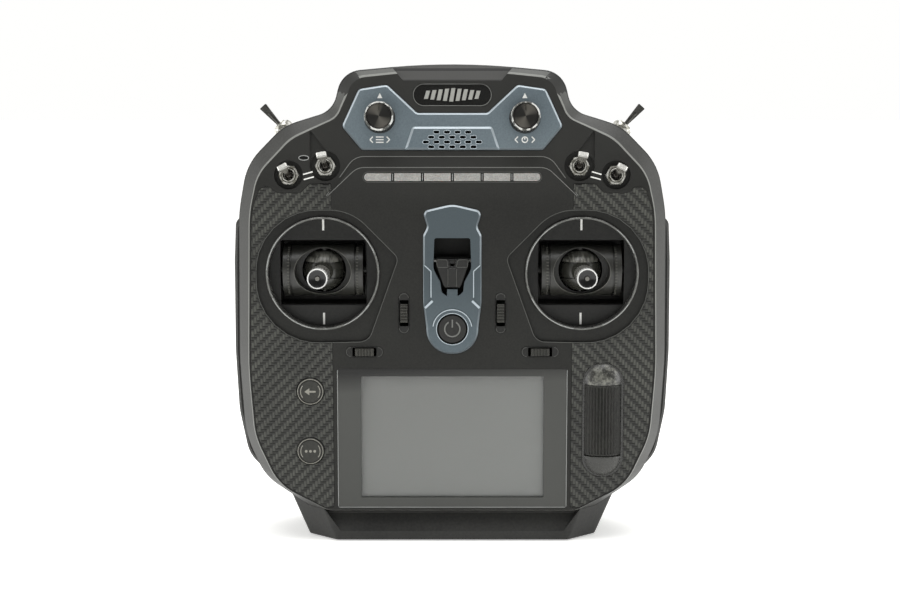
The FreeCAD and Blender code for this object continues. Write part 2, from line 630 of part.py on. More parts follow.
def gimbal_bezel():
    front = FACE_Y - 0.4 - GIMBAL_Y
    ring = stub(0, 0, RING_R, front + 0.25, PLATE_Y[0])
    ring = ring.fuse(Part.makeCone(RING_R - 0.25, RING_R, 0.25, V(0, front, 0), V(0, 1, 0)))
    flange = stub(0, 0, 27.4, FACE_Y + FRONT_WALL + 0.05 - GIMBAL_Y, PLATE_Y[0])
    bore = stub(0, 0, RING_BORE_R, front - 1, PLATE_Y[0] + 1)
    lip = Part.makeCone(RING_BORE_R + 0.35, RING_BORE_R, 0.35, V(0, front, 0), V(0, 1, 0))
    bezel = ring.fuse(flange).cut([bore, lip])
    bezel.translate(V(0, 0, -RING_DROP))
    return bezel


def gimbal_plate():
    disc = stub(0, -RING_DROP, 27.4, PLATE_Y[0], PLATE_Y[1])
    return disc.cut(plate(rectangle(-19.0, 19.0, -15.2, 13.7, 0.8), -10, 0))


def gimbal_frame():
    frame = block(-CHEEK_OUT, CHEEK_OUT, FRAME_Y[0], FRAME_Y[1], -17.4, 17.4)
    inside = block(-CHEEK_IN, CHEEK_IN, FRAME_Y[0] - 1, 12.8, -15.0, 15.0)
    window = block(-9, 9, 12, 20, -9, 9)
    bore = rod(V(-30, 0, 0), V(1, 0, 0), AXLE_R + AXLE_GAP, 60)
    return frame.cut([inside, window, bore])


def gimbal_drum():
    drum = rod(V(-DRUM_HALF, 0, 0), V(1, 0, 0), DRUM_R, 2 * DRUM_HALF)
    cuts = [Part.makeSphere(BALL_R + 0.4)]
    oval = Part.Ellipse(V(12.4, -20, 0), V(0, -20, 10.4), V(0, -20, 0))
    cuts.append(Part.Face(Part.Wire(oval.toShape())).extrude(V(0, 17.6, 0)))
    for x in (-14.2, 14.2):
        groove = rod(V(x - 0.45, 0, 0), V(1, 0, 0), DRUM_R + 1, 0.9)
        cuts.append(groove.cut(rod(V(x - 1, 0, 0), V(1, 0, 0), DRUM_R - 0.8, 2)))
    cuts.append(rod(V(0, 0, -10.8), V(0, 0, 1), 1.5 + AXLE_GAP, 21.6))
    drum = drum.cut(cuts)
    axle = rod(V(-26.2, 0, 0), V(1, 0, 0), AXLE_R, 10).fuse(rod(V(16.2, 0, 0), V(1, 0, 0), AXLE_R, 10))
    return drum.fuse(axle)


def gimbal_ball():
    ball = Part.makeSphere(BALL_R).common(block(-20, 20, -20, 20, -8.7, 8.7))
    bands = []
    for z, core in ((3.45, 8.5), (-3.35, 8.5)):
        band = Part.makeCylinder(BALL_R + 1, 0.5, V(0, 0, z))
        bands.append(band.cut(Part.makeCylinder(core, 2, V(0, 0, z - 1))))
    pin = rod(V(0, 0, -10.6), V(0, 0, 1), 1.5, 21.2)
    neck = Part.makeCone(4.4, STICK_R, 4.0, V(0, -8.6, 0), V(0, -1, 0))
    shaft = rod(V(0, -8, 0), V(0, -1, 0), STICK_R, 23.3)
    return ball.cut(bands).fuse([pin, neck, shaft])


def stick_end():
    length = STICK_END_LONG
    tip = STICK_TIP_Y - GIMBAL_Y
    grip = toothed(STICK_END_R, 0.3, 24, length - 2.4)
    grip = grip.common(Part.makeCone(STICK_END_R - 0.6, STICK_END_R + 4, 4.6).fuse(
        Part.makeCylinder(STICK_END_R + 1, length, V(0, 0, 1.0))))
    nose = Part.makeCylinder(STICK_END_R - 0.5, 1.2, V(0, 0, length - 2.6))
    crown = Part.makeCylinder(STICK_END_R - 0.1, 1.6, V(0, 0, length - 1.6))
    body = grip.fuse([nose, crown])
    dish = Part.makeSphere(7.0, V(0, 0, length + 5.8))
    waist = []
    for height in (4.6, 8.4):
        band = Part.makeCylinder(6, 0.7, V(0, 0, height))
        waist.append(band.cut(Part.makeCylinder(STICK_END_R - 0.55, 2, V(0, 0, height - 0.5))))
    shaft_hole = Part.makeCylinder(STICK_R + 0.03, 10.0, V(0, 0, -1))
    body = body.cut([dish, shaft_hole] + waist)
    centre = Part.makeCylinder(0.9, 1.2, V(0, 0, length - 1.6))
    return lay(body.fuse(centre), V(0, tip + length, 0), V(0, -1, 0))


def coil(radius, wire, turns, pitch):
    """A coil spring standing on its origin along +Z."""
    helix = Part.makeHelix(pitch, pitch * turns, radius)
    section = Part.Wire(Part.makeCircle(wire, V(radius, 0, 0), V(0, 1, 0)))
    return Part.Wire(helix.Edges).makePipeShell([section], True, True)


def make_gimbals():
    bezel, base, frame = gimbal_bezel(), gimbal_plate(), gimbal_frame()
    drum, ball, tip = gimbal_drum(), gimbal_ball(), stick_end()
    sensor = block(CHEEK_OUT + 0.05, CHEEK_OUT + 6.0, -6 + 2, 7, -6, 6)
    sensor = sensor.cut(rod(V(20, 0, 0), V(1, 0, 0), AXLE_R + 0.1, 6.6))
    spring = lay(coil(1.6, 0.35, 9, 2.6), V(-CHEEK_OUT - 2.4, 6.0, -11.7), V(0, 0, 1))
    for side, name in ((-1, "left"), (1, "right")):
        keep("gimbal_cradle_" + name, at_gimbal(drum, side))
        keep("gimbal_ball_" + name, at_gimbal(ball, side))
        keep("stick_end_" + name, at_gimbal(tip, side))
    fixed = (("gimbal_bezels", bezel), ("gimbal_plates", base), ("gimbal_frames", frame),
             ("gimbal_springs", spring), ("gimbal_sensors", sensor))
    for name, shape in fixed:
        keep(name, Part.makeCompound([at_gimbal(shape, -1), at_gimbal(shape, 1)]))


# ---------------------------------------------------------------------------
# Knobs, toggle switches, trims, buttons, roller and strap hook
# ---------------------------------------------------------------------------
KNOB_TALL = 9.4
KNOB_BASE = 0.75           # height of the plaque's face above the leaning face


def knob_local():
    skirt = Part.makeCone(KNOB_R, KNOB_R - 0.4, 1.4, V(0, 0, 0))
    grip = toothed(KNOB_R - 0.5, 0.35, 30, KNOB_TALL - 2.2)
    grip.translate(V(0, 0, 1.2))
    top = Part.makeCone(5.3, 5.1, 0.9, V(0, 0, KNOB_TALL - 1.2))
    stem = Part.makeCylinder(2.95, 12.0, V(0, 0, -9.0))
    body = skirt.fuse([grip, top, stem])
    hollow = Part.makeCylinder(5.0, 6.0, V(0, 0, -1)).cut(Part.makeCylinder(2.95, 8, V(0, 0, -2)))
    groove = block(-0.35, 0.35, 2.4, 5.4, KNOB_TALL - 0.9, KNOB_TALL + 1)
    ring = Part.makeCone(6.4, 6.0, 1.1, V(0, 0, KNOB_TALL - 1.2))
    ring = ring.cut(Part.makeCone(5.45, 5.6, 1.3, V(0, 0, KNOB_TALL - 0.7)))
    return body.cut(hollow).fuse(ring).cut(groove)


def make_knobs():
    pots = []
    for side, name in ((-1, "left"), (1, "right")):
        face = V(side * KNOB[0], depth_at(KNOB[1]), KNOB[1])
        base = face + OUT * (KNOB_BASE + RUN)
        keep("knob_" + name, lay(knob_local(), base, OUT))
        pot = Part.makeCylinder(4.1, 6.6, V(0, 0, -5.0)).fuse(Part.makeBox(13, 11, 4.7, V(-6.5, -5.5, -7.8)))
        pot = pot.cut(Part.makeCylinder(2.95 + AXLE_GAP, 40, V(0, 0, -20)))
        pots.append(lay(pot, face, OUT))
    keep("knob_pots", Part.makeCompound(pots))


PIVOT_DROP = 1.6           # the lever's pivot below the bushing's rim
BUSHING_R = 2.9
BUSHING_BORE_R = 1.75
BUSHING_ROOT = -7.6        # the bushing's lower end, below its seat
RIM_OVER_NUT = 1.0         # the bushing stands this much above its nut
NUT_R = 4.6
NUT_TALL = 2.4
SHOULDER_NUT_TALL = 3.6


def bushing_local(nut_tall):
    """A threaded bushing on a seat at the origin, with its lever's bore."""
    rim = nut_tall + RIM_OVER_NUT
    body = Part.makeCylinder(BUSHING_R, rim - BUSHING_ROOT, V(0, 0, BUSHING_ROOT))
    for i in range(4):
        height = rim - 1.65 + 0.45 * i
        thread = Part.makeCylinder(4, 0.2, V(0, 0, height))
        body = body.cut(thread.cut(Part.makeCylinder(BUSHING_R - 0.18, 1, V(0, 0, height - 0.3))))
    mouth = Part.makeCone(BUSHING_BORE_R, 2.55, PIVOT_DROP + 0.1, V(0, 0, rim - PIVOT_DROP))
    return body.cut([Part.makeCylinder(BUSHING_BORE_R, 14, V(0, 0, BUSHING_ROOT - 1)), mouth])


def nut_local(tall):
    corners = []
    for i in range(7):
        angle = math.pi * i / 3
        corners.append(V(NUT_R * math.cos(angle), NUT_R * math.sin(angle), 0))
    nut = Part.Face(Part.makePolygon(corners)).extrude(V(0, 0, tall))
    nut = nut.common(Part.makeCone(NUT_R + 0.1 + tall / 4, NUT_R - 0.6, tall))
    return nut.cut(Part.makeCylinder(BUSHING_R + 0.03, tall + 2, V(0, 0, -1)))


PADDLE = ((1.0, 0.0, 0.0), (2.2, 4.2, 0.8), (2.2, 6.6, 0.8))
FLARE = ((0.95, 0.0, 0.0), (1.75, 9.2, 0.35))


def lever_local(length, blade_half):
    """A lever standing along +Z on its pivot, with a flat blade of the given half outline."""
    ball = Part.makeSphere(1.55)
    shaft = Part.makeCone(0.95, 1.1, length - 4.0)
    tail = Part.makeCone(0.85, 0.6, 2.4, V(0, 0, -2.4))
    outline = [(-x, z, r) for x, z, r in blade_half] + [(x, z, r) for x, z, r in reversed(blade_half)]
    foot = length - blade_half[-1][1]
    blade = Part.Face(edge_loop(outline, lambda x, z: V(x, -0.85, z + foot))).extrude(V(0, 1.7, 0))
    return ball.fuse([shaft, tail, blade])


def switch_body_local():
    case = Part.makeBox(8.4, 7.6, 5.4, V(-4.2, -3.8, -13.0))
    lugs = [Part.makeBox(1.0, 2.0, 2.4, V(x, -1.0, -15.4)) for x in (-3.2, -0.5, 2.2)]
    return case.fuse(lugs).cut(Part.makeCylinder(1.8, 3.0, V(0, 0, -10.6)))


def switch_frames():
    """Each switch: name, seat, direction, the throw's slant and lean, lever length, blade, nut height."""
    inner, outer = SWITCH_WELLS
    frames = []
    for side, word in ((-1, "left"), (1, "right")):
        for well, label, slant, rest in ((inner, "inner", 10.0, 18.0), (outer, "outer", 28.0, 13.0)):
            seat = V(side * well[0], depth_at(well[1]), well[1]) - OUT * WELL_DEEP
            name = "toggle_" + label + "_" + word
            frames.append((name, seat, OUT, side * slant, rest, 14.2, PADDLE, NUT_TALL))
        seat = V(side * SHOULDER_SEAT.x, SHOULDER_SEAT.y, SHOULDER_SEAT.z)
        out = V(side * SHOULDER_DIR.x, 0, SHOULDER_DIR.z)
        frames.append(("toggle_shoulder_" + word, seat, out, 0.0, 0.0, 12.2, FLARE, SHOULDER_NUT_TALL))
    return frames


def make_switches():
    nuts, bodies = [], []
    for name, seat, out, slant, rest, length, blade, nut_tall in switch_frames():
        nuts.append(lay(nut_local(nut_tall), seat, out))
        bodies.append(lay(switch_body_local().fuse(bushing_local(nut_tall)), seat, out))
        pivot = seat + out * (nut_tall + RIM_OVER_NUT - PIVOT_DROP)
        lever = lay(lever_local(length, blade), pivot, out)
        if rest:
            lever.rotate(pivot, V(1, 0, 0), -rest)
            lever.rotate(pivot, OUT, -slant)
        keep(name, lever)
    keep("switch_nuts", Part.makeCompound(nuts))
    keep("switch_bodies", Part.makeCompound(bodies))


TRIM_PIVOT_Y = -4.0
TRIM_HALF = 4.2            # half of the thumb pad's length
TRIM_RIBS = 6
TRIM_RIB_PITCH = 1.3
TRIM_PIN_R = 1.0


def trim_lever(vertical):
    """A ribbed rocker on its pin; built for an up-and-down trim, pivot at the origin."""
    top = FACE_Y - 1.9 - TRIM_PIVOT_Y
    pad = [(-TRIM_HALF, top + 0.6, 0.5), (TRIM_HALF, top + 0.6, 0.5), (2.4, -0.5, 0), (-2.4, -0.5, 0)]
    arm = Part.Face(edge_loop(pad, lambda z, y: V(-1.6, y, z))).extrude(V(3.2, 0, 0))
    ribs = []
    for i in range(TRIM_RIBS):
        z = (i - (TRIM_RIBS - 1) / 2.0) * TRIM_RIB_PITCH
        ribs.append(block(-1.6, 1.6, top + 0.05, top + 0.75, z - 0.3, z + 0.3))
    hub = rod(V(-1.6, 0, 0), V(1, 0, 0), 2.2, 3.2)
    pin = rod(V(-3.6, 0, 0), V(1, 0, 0), TRIM_PIN_R, 7.2)
    lever = arm.fuse(ribs + [hub, pin])
    if not vertical:
        lever.rotate(V(0, 0, 0), V(0, 1, 0), 90)
    return lever


def trim_bracket(vertical):
    low, high = FACE_Y + FRONT_WALL + 0.05 - TRIM_PIVOT_Y, 2.2
    cheeks = []
    for x0, x1 in ((-3.7, -2.0), (2.0, 3.7)):
        cheeks.append(block(x0, x1, low, high, -3.0, 3.0))
    feet = block(-3.7, 3.7, low, low + 1.2, -8.0, 8.0).cut(block(-2.0, 2.0, low - 1, low + 3, -6.2, 6.2))
    bracket = feet.fuse(cheeks).cut(rod(V(-9, 0, 0), V(1, 0, 0), TRIM_PIN_R + AXLE_GAP, 18))
    if not vertical:
        bracket.rotate(V(0, 0, 0), V(0, 1, 0), 90)
    return bracket


def make_trims():
    bezels, brackets = [], []
    for side, word in ((-1, "left"), (1, "right")):
        for (x, z), vertical, label in ((TRIM_UP, True, "pitch"), (TRIM_FLAT, False, "roll")):
            place = V(side * x, TRIM_PIVOT_Y, z)
            for shape, store in ((trim_lever(vertical), None), (trim_bracket(vertical), brackets)):
                shape.translate(place)
                if store is None:
                    keep("trim_" + label + "_" + word, shape)
                else:
                    store.append(shape)
            wide, tall = (2.25, 8.85) if vertical else (8.15, 2.25)
            slot_wide, slot_tall = (2.0, 5.8) if vertical else (5.3, 2.0)
            middle = side * x
            bezel = plate(rectangle(middle - wide + FIT, middle + wide - FIT, z - tall, z + tall, 2.0),
                          FACE_Y - 0.2, FACE_Y + 1.0)
            hole = plate(rectangle(middle - slot_wide, middle + slot_wide, z - slot_tall, z + slot_tall, 0.4),
                         FACE_Y - 2, FACE_Y + 2)
            bezels.append(bezel.cut(hole))
    keep("trim_bezels", Part.makeCompound(bezels))
    return brackets


BUTTON_TRAVEL = 0.9


def button_cap(x, z, radius, proud):
    front = FACE_Y - proud
    cap = stub(x, z, radius, front + 0.5, FACE_Y + FRONT_WALL + 0.3)
    cap = cap.fuse(Part.makeCone(radius - 0.5, radius, 0.5, V(x, front, z), V(0, 1, 0)))
    flange = stub(x, z, radius + 1.2, FACE_Y + FRONT_WALL + 0.3, FACE_Y + FRONT_WALL + 1.2)
    return cap.fuse(flange)


def make_buttons():
    domes = []
    back = FACE_Y + FRONT_WALL + 1.2
    for (x, z), word in zip(ROUND_BUTTONS, ("upper", "lower")):
        cap = button_cap(x, z, BUTTON_R, 0.7)
        groove = stub(x, z, BUTTON_R - 0.75, FACE_Y - 2, FACE_Y - 0.45)
        groove = groove.cut(stub(x, z, BUTTON_R - 1.15, FACE_Y - 3, FACE_Y))
        keep("button_" + word, cap.cut(groove))
        domes.append(stub(x, z, 3.4, back + BUTTON_TRAVEL + 0.1, back + 4.5))
    cap = button_cap(POWER[0], POWER[1], 6.5, 0.8)
    x, z = POWER
    arc = stub(x, z, 3.8, FACE_Y - 2, FACE_Y - 0.5).cut(stub(x, z, 2.9, FACE_Y - 3, FACE_Y))
    arc = arc.cut(block(-1.6, 1.6, FACE_Y - 3, FACE_Y, z, z + 5))
    stroke = plate(rectangle(-0.4, 0.4, z + 0.6, z + 4.3, 0.35), FACE_Y - 2, FACE_Y - 0.5)
    keep("power_button", cap.cut([arc, stroke]))
    domes.append(stub(x, z, 3.4, back + BUTTON_TRAVEL + 0.1, back + 4.5))
    keep("button_switches", Part.makeCompound(domes))


AXLE_HALF = 18.3


def make_roller():
    x, middle = ROLLER
    ribs = 44
    roller = toothed(ROLLER_R, 0.75, ribs, 2 * ROLLER_HALF)
    roller.translate(V(0, 0, -ROLLER_HALF))
    ends = [rod(V(0, 0, z), V(0, 0, 1), ROLLER_R - 0.3, 0.8) for z in (-ROLLER_HALF, ROLLER_HALF - 0.8)]
    roller = roller.fuse(ends).cut(rod(V(0, 0, -30), V(0, 0, 1), 1.5 + AXLE_GAP, 60))
    roller.translate(V(x, ROLLER_AXIS_Y, middle))
    keep("scroll_roller", roller)
    ears = []
    for z in (middle - 18.4, middle + 16.2):
        ears.append(block(x - 5, x + 5, FACE_Y + FRONT_WALL + 0.1, ROLLER_AXIS_Y + 12.6, z, z + 2.2))
    back = block(x - 5, x + 5, ROLLER_AXIS_Y + 11.2, ROLLER_AXIS_Y + 12.6, middle - 18.4, middle + 18.4)
    bracket = back.fuse(ears)
    axle = rod(V(x, ROLLER_AXIS_Y, middle - AXLE_HALF), V(0, 0, 1), 1.5, 2 * AXLE_HALF)
    return bracket.cut(rod(V(x, ROLLER_AXIS_Y, middle - 30), V(0, 0, 1), 1.5 + 0.02, 60)), axle


HOOK_PIVOT = (-10.2, 126.0)        # (y, z) of the strap hook's pin
HOOK_HALF = (
    (0.45, 123.9, 0.4), (2.2, 127.1, 1.2), (7.3, 127.1, 0.8), (6.6, 122.8, 2.0), (4.3, 116.0, 1.5),
    (3.3, 114.4, 0.8),
)
HOOK_PAD = ((2.3, 126.9, 1.0), (7.0, 126.9, 0.6), (6.5, 123.6, 0.4), (1.9, 123.6, 0.3))
HOOK_STEM = rectangle(-1.9, 1.9, 114.8, 123.2, 0.5)
TRAY_OUT = 9.8
TRAY_IN = 8.2


def make_strap_hook():
    y, z = HOOK_PIVOT
    pin_r = 0.9
    blade = blend(inset(whole(HOOK_HALF), 0.4), FACE_Y - 0.6, whole(HOOK_HALF), FACE_Y - 0.2)
    blade = blade.fuse(plate(whole(HOOK_HALF), FACE_Y - 0.2, FACE_Y + 2.6))
    raised = []
    for outline in (HOOK_PAD, HOOK_STEM):
        top = blend(inset(outline, 0.25), FACE_Y - 1.5, outline, FACE_Y - 1.25)
        raised.append(top.fuse(plate(outline, FACE_Y - 1.25, FACE_Y)))
    raised.append(mirrored(raised[0]))
    arm_side = [(FACE_Y + 1, 127.1, 1), (y, 127.1, 0), (y, 124.4, 0), (FACE_Y + 1, 124.4, 1)]
    arm = side_prism(arm_side, -6.2, 6.2)
    hub = rod(V(-7.0, y, z), V(1, 0, 0), 2.0, 14.0)
    bore = rod(V(-9, y, z), V(1, 0, 0), pin_r + AXLE_GAP, 18)
    keep("strap_hook", blade.fuse(raised + [arm, hub]).cut(bore))
    front = FACE_Y + FRONT_WALL + 0.05
    tray = block(-TRAY_OUT, TRAY_OUT, front, front + 9.0, 109.6, 138.0)
    tray = tray.cut([
        block(-TRAY_IN, TRAY_IN, front - 1, front + 7.6, 111.0, 136.6),
        rod(V(-20, y, z), V(1, 0, 0), pin_r + 0.02, 40),
    ])
    keep("hook_tray", tray)
    return rod(V(-TRAY_OUT, y, z), V(1, 0, 0), pin_r, 2 * TRAY_OUT)


def make_electronics():
    board = block(-28, 28, -0.8, 0.8, 84, 150)
    chips = [
        block(-9, 9, 0.8, 2.4, 108, 126),
        block(-24, -14, 0.8, 2.2, 90, 100),
        block(14, 26, 0.8, 2.6, 130, 142),
        block(-25, -13, 0.8, 5.2, 132, 142),
        block(12, 24, 0.8, 4.4, 88, 94),
    ]
    keep("main_board", board.fuse(chips))
    speaker = stub(0, 179.2, 10.6, FACE_Y + 3.2, FACE_Y + 5.0)
    speaker = speaker.fuse(stub(0, 179.2, 7.5, FACE_Y + 5.0, FACE_Y + 9.0))
    keep("speaker", lean(speaker))
    lights = []
    for x in (-32.5, -19.5, -6.5, 6.5, 19.5, 32.5):
        lights.append(block(x - 2.5, x + 2.5, -12.4, -11.6, 161.2, 164.8))
    light_board = block(-40, 40, -11.6, -10.2, 159.5, 166.5).fuse(lights)
    cells = [rod(V(-33, 23, z), V(1, 0, 0), 9.2, 66) for z in (41.0, 60.0)]
    wrap = block(-33, 33, 14.2, 31.6, 40, 61)
    keep("battery_pack", wrap.fuse(cells))
    antennas = [block(8, 31, 4, 5.2, 193, 204), block(-31, -8, 4, 5.2, 193, 204)]
    keep("antenna_and_light_boards", Part.makeCompound(antennas + [light_board]))
    motor = rod(V(-70, 4, 90), V(1, 0, 0), 4.2, 12).fuse(block(-69, -59, 4, 9, 85.8, 94.2))
    weight = rod(V(-74.5, 4, 90), V(1, 0, 0), 3.4, 4.2).cut(block(-80, -60, -10, 4.5, 80, 100))
    keep("vibration_motor", motor.fuse([weight, rod(V(-74.5, 4, 90), V(1, 0, 0), 0.8, 6)]))
    socket = plate(rectangle(-60.4, -51.6, 110.2, 113.6, 1.6), REAR_Y - 8.2, REAR_Y - 0.2)
    mouth = plate(rectangle(-60.1, -51.9, 110.5, 113.3, 1.3), REAR_Y - 7.4, REAR_Y + 1)
    tongue = block(-59, -53, REAR_Y - 8, REAR_Y - 1.6, 111.6, 112.2)
    keep("usb_socket", socket.cut(mouth).fuse(tongue))


def build():
    make_front_cover()
    make_rear_cover()
    make_case_screws()
    make_rear_doors()
    make_foot()
    make_grips()
    make_console_plaque()
    make_badge()
    make_light_bar()
    make_centre_plaque()
    make_screen()
    make_side_panels()
    make_roller_bezel()
    make_gimbals()
    make_knobs()
    make_switches()
    make_buttons()
    roller_bracket, axle = make_roller()
    keep("control_brackets", Part.makeCompound(make_trims() + [roller_bracket]))
    keep("axle_pins", Part.makeCompound([axle, make_strap_hook()]))
    make_electronics()


build()
os.makedirs("parts", exist_ok=True)
for node, shape in PARTS.items():
    if not shape.isValid():
        print("not valid:", node)
    shape.exportStep("parts/" + node + ".step")
print(len(PARTS), "sub-parts")
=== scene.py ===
import math

import bmesh
import bpy
from mathutils import Matrix, Vector


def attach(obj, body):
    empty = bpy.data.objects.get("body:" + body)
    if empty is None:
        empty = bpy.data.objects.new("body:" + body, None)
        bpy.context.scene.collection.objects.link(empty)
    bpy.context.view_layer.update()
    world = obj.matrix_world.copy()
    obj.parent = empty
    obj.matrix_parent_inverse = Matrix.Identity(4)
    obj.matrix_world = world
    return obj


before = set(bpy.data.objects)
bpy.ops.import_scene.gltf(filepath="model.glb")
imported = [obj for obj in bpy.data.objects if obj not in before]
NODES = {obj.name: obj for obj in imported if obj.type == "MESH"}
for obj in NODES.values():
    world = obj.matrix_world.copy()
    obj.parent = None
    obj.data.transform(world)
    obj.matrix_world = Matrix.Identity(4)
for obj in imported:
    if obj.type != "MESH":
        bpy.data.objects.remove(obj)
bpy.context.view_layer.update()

MM = 0.001

# ---------------------------------------------------------------------------
# Places on the transmitter, in millimetres, as in the CAD model
# ---------------------------------------------------------------------------
SIDES = ((-1, "left"), (1, "right"))
FACE_Y = -15.5
TILT_Z = 157.0                                  # the face leans back above this height
TILT = math.radians(6.0)
OUT = Vector((0.0, -math.cos(TILT), math.sin(TILT)))
RIM_Y = -7.5                                    # seam between the front and rear covers
GIMBAL = Vector((57.0, -3.5, 121.3))
PLATE_FRONT = -9.5
WINDOW = (40.6, 20.1, 74.9)                     # half width, lower and upper edge of the display
KNOB = (31.6, 188.5)
KNOB_TOP = 0.75 + 0.3 + 9.4                     # plaque, collar and knob in front of the face
NUT_CENTRES = ((55.5, 167.8), (71.5, 163.9))    # carried along the lean to the face's foot
ROLLER_X = 66.8
ROLLER_ENDS = (37.2, 73.6)                      # centres of the round ends of the roller's bezel
POWER_Z = 96.2

# Zones and patterns of the materials, in millimetres
RIM_LINE = 0.7                                  # painted highlight line along the satin bevel
SHOULDER_FADE = (150.0, 175.0)                  # heights between which painted light makes the face lighter
TOP_FADE = (186.0, 206.0)                       # the same for the painted sheen on the satin bevel
BROW = (25.8, 205.2)                            # half width and lower edge of the brow's painted highlight
TOW = 1.25                                      # width of one tow of the carbon weave
HATCH_PITCH = 2.2                               # of the rubber grips
TURNING_PITCH = 0.22                            # of the rings turned into the knobs' tops
PLAQUE_SPLIT = 152.0                            # the centre plaque lies below, the console above
PLAQUE_FADE = (88.0, 116.0)                     # heights over which the centre plaque darkens: its own darker tone, with painted shade towards its top
BUSHING_RINGS = ((2.95, 3.35), (1.9, 2.45))     # radii of the painted shade rings in the gaps of nuts and bushings
KNOB_DISC_R = 5.5
KNOB_RIM_R = 5.6
KNOB_RIM_DEEP = 1.15
STICK_FACE = (3.8, -40.5)                       # radius, and y in front of which it starts
STICK_BEAD = (0.92, -41.0)
STICK_SHANK_Y = -38.5
BALL_SHEEN = (3.9, 4.2, 8.6)                    # heights over the ball's centre: the groove, and where the painted highlight is full and has faded
LEVER_ZONES = ((5.0, 7.0), (10.8, 11.6))        # heights at which a lever turns from painted shade to a painted highlight
GLASS_SHADE = (70.0, 79.0)                      # heights over which painted shade turns the glass black under its top edge
GLASS_SHADE_SLOPE = 0.06
BEZEL_FADE = (7.4, 6.4)                         # radii over which the painted highlights on the bezel's domed ends fade
BEZEL_DOMES = (39.5, 71.0)                      # the lower end lies below the first, the upper above
FINE_GRAIN = 2600.0                             # cells per metre
GRAIN_DEPTH = 0.00008                           # metres


def face_depth(z):
    """Y of the front face at a height; the shoulders lean back."""
    return FACE_Y + max(0.0, z - TILT_Z) * math.tan(TILT)


# ---------------------------------------------------------------------------
# Material helpers
# ---------------------------------------------------------------------------

class Shader:
    """A node tree with short calls for the nodes that the materials use."""

    def __init__(self, name):
        self.material = bpy.data.materials.new(name)
        self.material.use_nodes = True
        self.tree = self.material.node_tree
        self.principled = self.tree.nodes["Principled BSDF"]
        self.space = self.tree.nodes.new("ShaderNodeTexCoord").outputs["Object"]

    def node(self, kind, **settings):
        """A new node of a kind, with settings such as its operation."""
        made = self.tree.nodes.new("ShaderNode" + kind)
        for key, value in settings.items():
            setattr(made, key, value)
        return made

    def link(self, source, target):
        """Join an output to an input."""
        self.tree.links.new(source, target)

    def feed(self, target, value):
        """Set an input from a socket or a plain value."""
        if isinstance(value, bpy.types.NodeSocket):
            self.link(value, target)
        else:
            target.default_value = value

    def math(self, operation, first, second=0.0, third=0.0):
        """The result of a Math node on up to three sockets or numbers."""
        made = self.node("Math", operation=operation)
        for place, value in zip(made.inputs, (first, second, third)):
            self.feed(place, value)
        return made.outputs[0]

    def noise(self, scale, detail=2.0, roughness=0.5, space=None):
        """Cloudy noise with a scale in cells per metre."""
        made = self.node("TexNoise")
        self.link(space or self.space, made.inputs["Vector"])
        made.inputs["Scale"].default_value = scale
        made.inputs["Detail"].default_value = detail
        made.inputs["Roughness"].default_value = roughness
        return made.outputs["Fac"]

    def grain(self, scale):
        """Pebbled noise, as of spark-eroded moulds."""
        made = self.node("TexVoronoi")
        self.link(self.space, made.inputs["Vector"])
        made.inputs["Scale"].default_value = scale
        return made.outputs["Distance"]

    def stretched(self, scale_vector):
        """Object coordinates scaled along each axis."""
        made = self.node("Mapping")
        self.link(self.space, made.inputs["Vector"])
        made.inputs["Scale"].default_value = scale_vector
        return made.outputs[0]

    def axes(self):
        """X, Y and Z of a point, in metres."""
        made = self.node("SeparateXYZ")
        self.link(self.space, made.inputs[0])
        return made.outputs

    def normal(self):
        """X, Y and Z of the surface's own normal."""
        geometry = self.node("NewGeometry")
        made = self.node("SeparateXYZ")
        self.link(geometry.outputs["True Normal"], made.inputs[0])
        return made.outputs

    def above(self, value, limit):
        return self.math("GREATER_THAN", value, limit)

    def below(self, value, limit):
        return self.math("LESS_THAN", value, limit)

    def both(self, first, second):
        return self.math("MULTIPLY", first, second)

    def height_over_face(self):
        """Distance in front of the leaning upper face, in metres."""
        _, y, z = self.axes()
        forward = self.math("MULTIPLY", self.math("ADD", y, -FACE_Y * MM), OUT.y)
        upward = self.math("MULTIPLY", self.math("ADD", z, -TILT_Z * MM), OUT.z)
        return self.math("ADD", forward, upward)

    def reach(self, along, rise):
        """Distance of two coordinates from zero."""
        squares = self.math("ADD", self.both(along, along), self.both(rise, rise))
        return self.math("SQRT", squares)

    def span(self, value, low, high, to_low=0.0, to_high=1.0):
        """A value carried from one range to another and held at its ends."""
        made = self.node("MapRange")
        for place, amount in zip(made.inputs, (value, low, high, to_low, to_high)):
            self.feed(place, amount)
        return made.outputs[0]

    def blend(self, amount, first, second):
        """A mix of two colours."""
        made = self.node("Mix", data_type="RGBA")
        self.feed(made.inputs[0], amount)
        self.feed(made.inputs[6], first)
        self.feed(made.inputs[7], second)
        return made.outputs[2]

    def bump(self, height, strength, distance=0.0002, rounding=0.0):
        """Feed a bump, over edges rounded by a radius in metres, to the surface."""
        made = self.node("Bump")
        made.inputs["Strength"].default_value = strength
        made.inputs["Distance"].default_value = distance
        self.feed(made.inputs["Height"], height)
        if rounding:
            edge = self.node("Bevel", samples=4)
            edge.inputs["Radius"].default_value = rounding
            self.link(edge.outputs[0], made.inputs["Normal"])
        self.link(made.outputs[0], self.principled.inputs["Normal"])

    def finish(self, color, roughness, metallic=0.0, specular=0.5):
        """Set the surface's main inputs and give the material."""
        inputs = self.principled.inputs
        self.feed(inputs["Base Color"], color)
        self.feed(inputs["Roughness"], roughness)
        self.feed(inputs["Metallic"], metallic)
        inputs["Specular IOR Level"].default_value = specular
        return self.material


def linear(red, green, blue):
    """An sRGB colour given in 0..255 as a linear colour."""
    levels = []
    for value in (red, green, blue):
        part = value / 255.0
        levels.append(part / 12.92 if part <= 0.04045 else ((part + 0.055) / 1.055) ** 2.4)
    return (*levels, 1.0)


